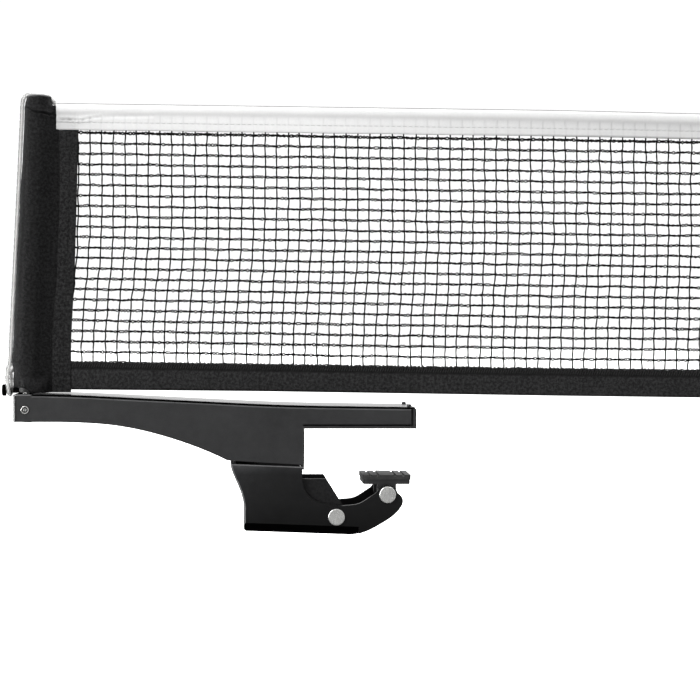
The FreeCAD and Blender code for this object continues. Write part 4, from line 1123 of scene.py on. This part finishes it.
LEFT_REACH = [(16.0, 7.0), (22.3, 7.5), (25.0, 7.5), (27.9, 7.7), (30.9, 8.8), (36.0, 8.4), (42.0, 8.15), (65.0, 7.95),
              (108.0, 7.55), (132.0, 7.0), (150.0, 6.85), (155.0, 6.8), (157.5, 6.2), (160.0, 6.05)]


def hem_line(x):
    """Height of the cloth's lower edge: above the collar outwards, in front of it towards the net."""
    return 18.95 - 2.45 * smoothstep(-133.2, -129.2, x)


def skirt(x):
    """Half the collar's depth at a station, with a little room."""
    return 6.85 if x < -127.6 else math.sqrt(max(6.85 ** 2 - (x + 127.6) ** 2, 0.0))


zs = list(np.arange(19.75, 23.6, 0.42)) + list(np.arange(23.95, 141.7, 0.85)) + [141.7, 142.0, 142.35] + list(np.arange(142.7, 153.3, 0.3)) + \
    [153.45, 153.6] + list(np.arange(154.0, 157.3, 0.45)) + [157.35]
outer, inner, cl, sh = [], [], [], []
for z in zs:
    po, lx, ly = section(z, 0.0)
    pi_, _, _ = section(z, CLOTH)
    n = len(po)
    ro, ri, rc, rs = [], [], [], []
    dist = 0.0
    for k in range(n):
        x, y, zz = po[k]
        xi, yi, _ = pi_[k]
        if k:
            dist += math.hypot(po[k][0] - po[k - 1][0], po[k][1] - po[k - 1][1])
        dx, dy = x - xi, y - yi
        d = math.hypot(dx, dy) or 1.0
        nx, ny = dx / d, dy / d
        zt = z
        if z > 152.0:
            lim = top_edge(lx[k], ly[k], z)
            zt = min(z, lim - (157.35 - z) * 0.02)
        if z < 23.5:
            zt = 23.5 - (23.5 - z) * (23.5 - hem_line(x)) / (23.5 - 19.75)
            if x > -134.5:
                near = smoothstep(24.5, 19.5, zt) * smoothstep(-134.5, -132.5, x)
                grow = max(skirt(x) - abs(yi), 0.0) * near
                y += math.copysign(grow, y)
                yi += math.copysign(grow, yi)
        edge = min(k, n - 1 - k) / 6.0
        e = (0.18 * bumpy(x * 1.3, y, zt * 0.35, 5.0, 14.0) + 0.1 * bumpy(x, y, zt, 2.2, 15.0)) * min(edge, 1.0)
        turn = math.atan2(ly[k], lx[k])
        e += 0.2 * bumpy(math.cos(turn) * 2.6 + zt * 0.006, math.sin(turn) * 2.6, zt * 0.012, 1.0, 31.0) * min(edge, 1.0) \
            * smoothstep(20.0, 26.0, zt) * (1 - smoothstep(138.0, 146.0, zt))
        if ly[k] < 0:
            tall = smoothstep(26.0, 40.0, zt) * (1 - smoothstep(120.0, 140.0, zt))
            sway = lx[k] + 0.35 * bumpy(0, 0, zt, 16.0, 33.0)
            e += tall * (0.12 * math.exp(-((sway + 2.9) / 0.9) ** 2) - 0.14 * math.exp(-((sway + 4.6) / 0.7) ** 2))
        e += (at(LEFT_REACH, zt) - SLEEVE_R) * ((1 - lx[k] / math.hypot(lx[k], ly[k])) / 2) ** 4
        # painted shade on the sleeve: along its vertical folds, at its lower outer corner by the collar, and in its
        # creases
        s = 0.0
        if ly[k] < 0:
            s += 0.4 * tall * math.exp(-((sway + 4.7) / 0.6) ** 2) + 0.25 * tall * math.exp(-((sway + 0.2) / 1.0) ** 2)
            s += 0.5 * (1 - smoothstep(22.0, 29.0, zt)) * (1 - smoothstep(-5.6, -3.2, lx[k]))
        for p, q, deep, wide in SLEEVE_FOLDS:
            dd, t = seg_dist(x, zt, p, q)
            if y < 1.0 and dd < wide * 3:
                soft = 0.35 + 0.65 * math.sin(math.pi * min(max(t, 0.06), 0.94))
                e -= deep * math.exp(-(dd / (wide * 0.5)) ** 2) * soft * 1.3
                e += deep * 0.5 * math.exp(-((dd - wide) / (wide * 0.6)) ** 2) * soft
                s += 2.2 * deep * math.exp(-(dd / (wide * 0.55)) ** 2) * soft
        if z > 142.0 or z < 22.0:
            e = max(e, -0.3) if z > 142.0 else max(e, -0.05)
        ro.append((x + nx * e, y + ny * e, zt))
        ri.append((xi + nx * e, yi + ny * e, zt))
        rc.append((dist, zt, 0.0))
        rs.append(min(s, 0.95))
    outer.append(ro)
    inner.append(ri)
    cl.append(rc)
    sh.append(rs)
b = Build()
skin(b, outer, inner, cl, sh)
sleeve = b.object("side_sleeve", sleeve_cloth.m, "post", slot="sleeve_cloth")
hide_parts("net_side_sleeve")

# ------------------------------------------------------------- clamp spring
# Wire with closed, ground ends; its lower end stands in the lever's cup.
b = Build()
SPR_X, R, WIRE = -18.6, 5.2, 0.9
z0, z1 = -43.2 + WIRE + 0.05, -12.0 - WIRE - 0.05
turns = np.linspace(0, 9.3, 243)
rise = np.array([min(max((u - 0.9) / 7.5, 0.0), 1.0) for u in turns])
rise = np.convolve(np.pad(rise, 5, mode="edge"), np.ones(11) / 11, mode="valid")
pts = np.stack([SPR_X + R * np.cos(turns * 2 * math.pi), R * np.sin(turns * 2 * math.pi), z0 + (z1 - z0) * rise], 1)
t_ = np.gradient(pts, axis=0)
t_ /= np.linalg.norm(t_, axis=1)[:, None]
radial = np.stack([np.cos(turns * 2 * math.pi), np.sin(turns * 2 * math.pi), 0 * turns], 1)
tube(b, pts, WIRE, 12, fr=(t_, radial, np.cross(t_, radial)))
spring = b.object("clamp_spring_coil", spring_steel.m, None)
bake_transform(spring)
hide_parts("clamp_spring")

# -------------------------------------------------------------------- stage
FLOOR = -0.0665
fl = bpy.data.meshes.new("floor")
fl.from_pydata([(-6, -6, FLOOR), (6, -6, FLOOR), (6, 6, FLOOR), (-6, 6, FLOOR)], [], [(0, 1, 2, 3)])
floor = bpy.data.objects.new("floor", fl)
bpy.context.scene.collection.objects.link(floor)
fm = bpy.data.materials.new("pale_floor")
fm.use_nodes = True
nt = fm.node_tree
nt.nodes.clear()
out = nt.nodes.new("ShaderNodeOutputMaterial")
lp = nt.nodes.new("ShaderNodeLightPath")
mixs = nt.nodes.new("ShaderNodeMixShader")
seen = nt.nodes.new("ShaderNodeAddShader")
d1 = nt.nodes.new("ShaderNodeBsdfDiffuse")
d1.inputs["Color"].default_value = (0.9, 0.9, 0.9, 1)
em = nt.nodes.new("ShaderNodeEmission")
em.inputs["Color"].default_value = (1, 1, 1, 1)
em.inputs["Strength"].default_value = 0.75
d2 = nt.nodes.new("ShaderNodeBsdfDiffuse")
d2.inputs["Color"].default_value = (0.22, 0.22, 0.22, 1)
nt.links.new(d1.outputs[0], seen.inputs[0])
nt.links.new(em.outputs[0], seen.inputs[1])
nt.links.new(lp.outputs["Is Camera Ray"], mixs.inputs[0])
nt.links.new(d2.outputs[0], mixs.inputs[1])
nt.links.new(seen.outputs[0], mixs.inputs[2])
nt.links.new(mixs.outputs[0], out.inputs["Surface"])
fl.materials.append(fm)

world = bpy.data.worlds.new("studio")
bpy.context.scene.world = world
world.use_nodes = True
wn = world.node_tree
wn.nodes.clear()
wout = wn.nodes.new("ShaderNodeOutputWorld")
wlp = wn.nodes.new("ShaderNodeLightPath")
wmix = wn.nodes.new("ShaderNodeMixShader")
bg_seen = wn.nodes.new("ShaderNodeBackground")
bg_seen.inputs["Color"].default_value = (1, 1, 1, 1)
bg_seen.inputs["Strength"].default_value = 1.05
bg_light = wn.nodes.new("ShaderNodeBackground")
bg_light.inputs["Strength"].default_value = 1.15
tc = wn.nodes.new("ShaderNodeTexCoord")
sep = wn.nodes.new("ShaderNodeSeparateXYZ")
wn.links.new(tc.outputs["Generated"], sep.inputs[0])
ramp = wn.nodes.new("ShaderNodeValToRGB")
mr = wn.nodes.new("ShaderNodeMapRange")
mr.inputs["From Min"].default_value = -1.0
mr.inputs["From Max"].default_value = 1.0
wn.links.new(sep.outputs["Z"], mr.inputs["Value"])
wn.links.new(mr.outputs["Result"], ramp.inputs["Fac"])
el = ramp.color_ramp.elements
while len(el) < 5:
    el.new(0.5)
for k, (p, c) in enumerate([(0.0, 0.15), (0.44, 0.25), (0.52, 0.62), (0.75, 0.9), (1.0, 1.0)]):
    el[k].position = p
    el[k].color = (c, c, c, 1)
side = wn.nodes.new("ShaderNodeMapRange")
side.inputs["From Min"].default_value = -1.0
side.inputs["From Max"].default_value = 1.0
side.inputs["To Min"].default_value = 1.25
side.inputs["To Max"].default_value = 0.75
wn.links.new(sep.outputs["X"], side.inputs["Value"])
mul = wn.nodes.new("ShaderNodeMix")
mul.data_type = "RGBA"
mul.blend_type = "MULTIPLY"
mul.inputs[0].default_value = 1.0
wn.links.new(ramp.outputs["Color"], mul.inputs[6])
wn.links.new(side.outputs["Result"], mul.inputs[7])
deep = wn.nodes.new("ShaderNodeMapRange")
deep.inputs["From Min"].default_value = 0.2
deep.inputs["From Max"].default_value = 1.0
deep.inputs["To Min"].default_value = 1.0
deep.inputs["To Max"].default_value = 1.35
wn.links.new(sep.outputs["Y"], deep.inputs["Value"])
front = wn.nodes.new("ShaderNodeMapRange")
front.inputs["From Min"].default_value = -1.0
front.inputs["From Max"].default_value = -0.2
front.inputs["To Min"].default_value = 0.65
front.inputs["To Max"].default_value = 1.0
wn.links.new(sep.outputs["Y"], front.inputs["Value"])
both = wn.nodes.new("ShaderNodeMath")
both.operation = "MULTIPLY"
wn.links.new(deep.outputs["Result"], both.inputs[0])
wn.links.new(front.outputs["Result"], both.inputs[1])
mul2 = wn.nodes.new("ShaderNodeMix")
mul2.data_type = "RGBA"
mul2.blend_type = "MULTIPLY"
mul2.inputs[0].default_value = 1.0
wn.links.new(mul.outputs[2], mul2.inputs[6])
wn.links.new(both.outputs[0], mul2.inputs[7])
wn.links.new(mul2.outputs[2], bg_light.inputs["Color"])
wn.links.new(wlp.outputs["Is Camera Ray"], wmix.inputs[0])
wn.links.new(bg_light.outputs[0], wmix.inputs[1])
wn.links.new(bg_seen.outputs[0], wmix.inputs[2])
wn.links.new(wmix.outputs[0], wout.inputs["Surface"])


def area(name, place, target, size, power):
    li = bpy.data.lights.new(name, "AREA")
    li.shape = "RECTANGLE"
    li.size, li.size_y = size
    li.energy = power
    o = bpy.data.objects.new(name, li)
    bpy.context.scene.collection.objects.link(o)
    o.location = place
    o.rotation_euler = (Vector(target) - Vector(place)).to_track_quat("-Z", "Y").to_euler()
    return o


area("key", (-0.85, -0.75, 0.85), (-0.05, 0, 0.04), (0.5, 0.5), 9.5)
area("fill", (0.8, 0.9, 0.7), (0, 0, 0.05), (0.7, 0.7), 5.0)
area("overhead", (-0.05, 0.5, 0.95), (-0.05, 0.0, 0.0), (1.8, 0.8), 30.0)
area("low_left", (-0.8, -0.85, 0.16), (-0.15, 0.0, 0.03), (0.2, 0.4), 2.5)
strip = area("edge", (-0.62, 0.0, -0.015), (-0.16, 0.0, -0.012), (0.3, 0.08), 0.13)
strip.data.spread = math.radians(40)
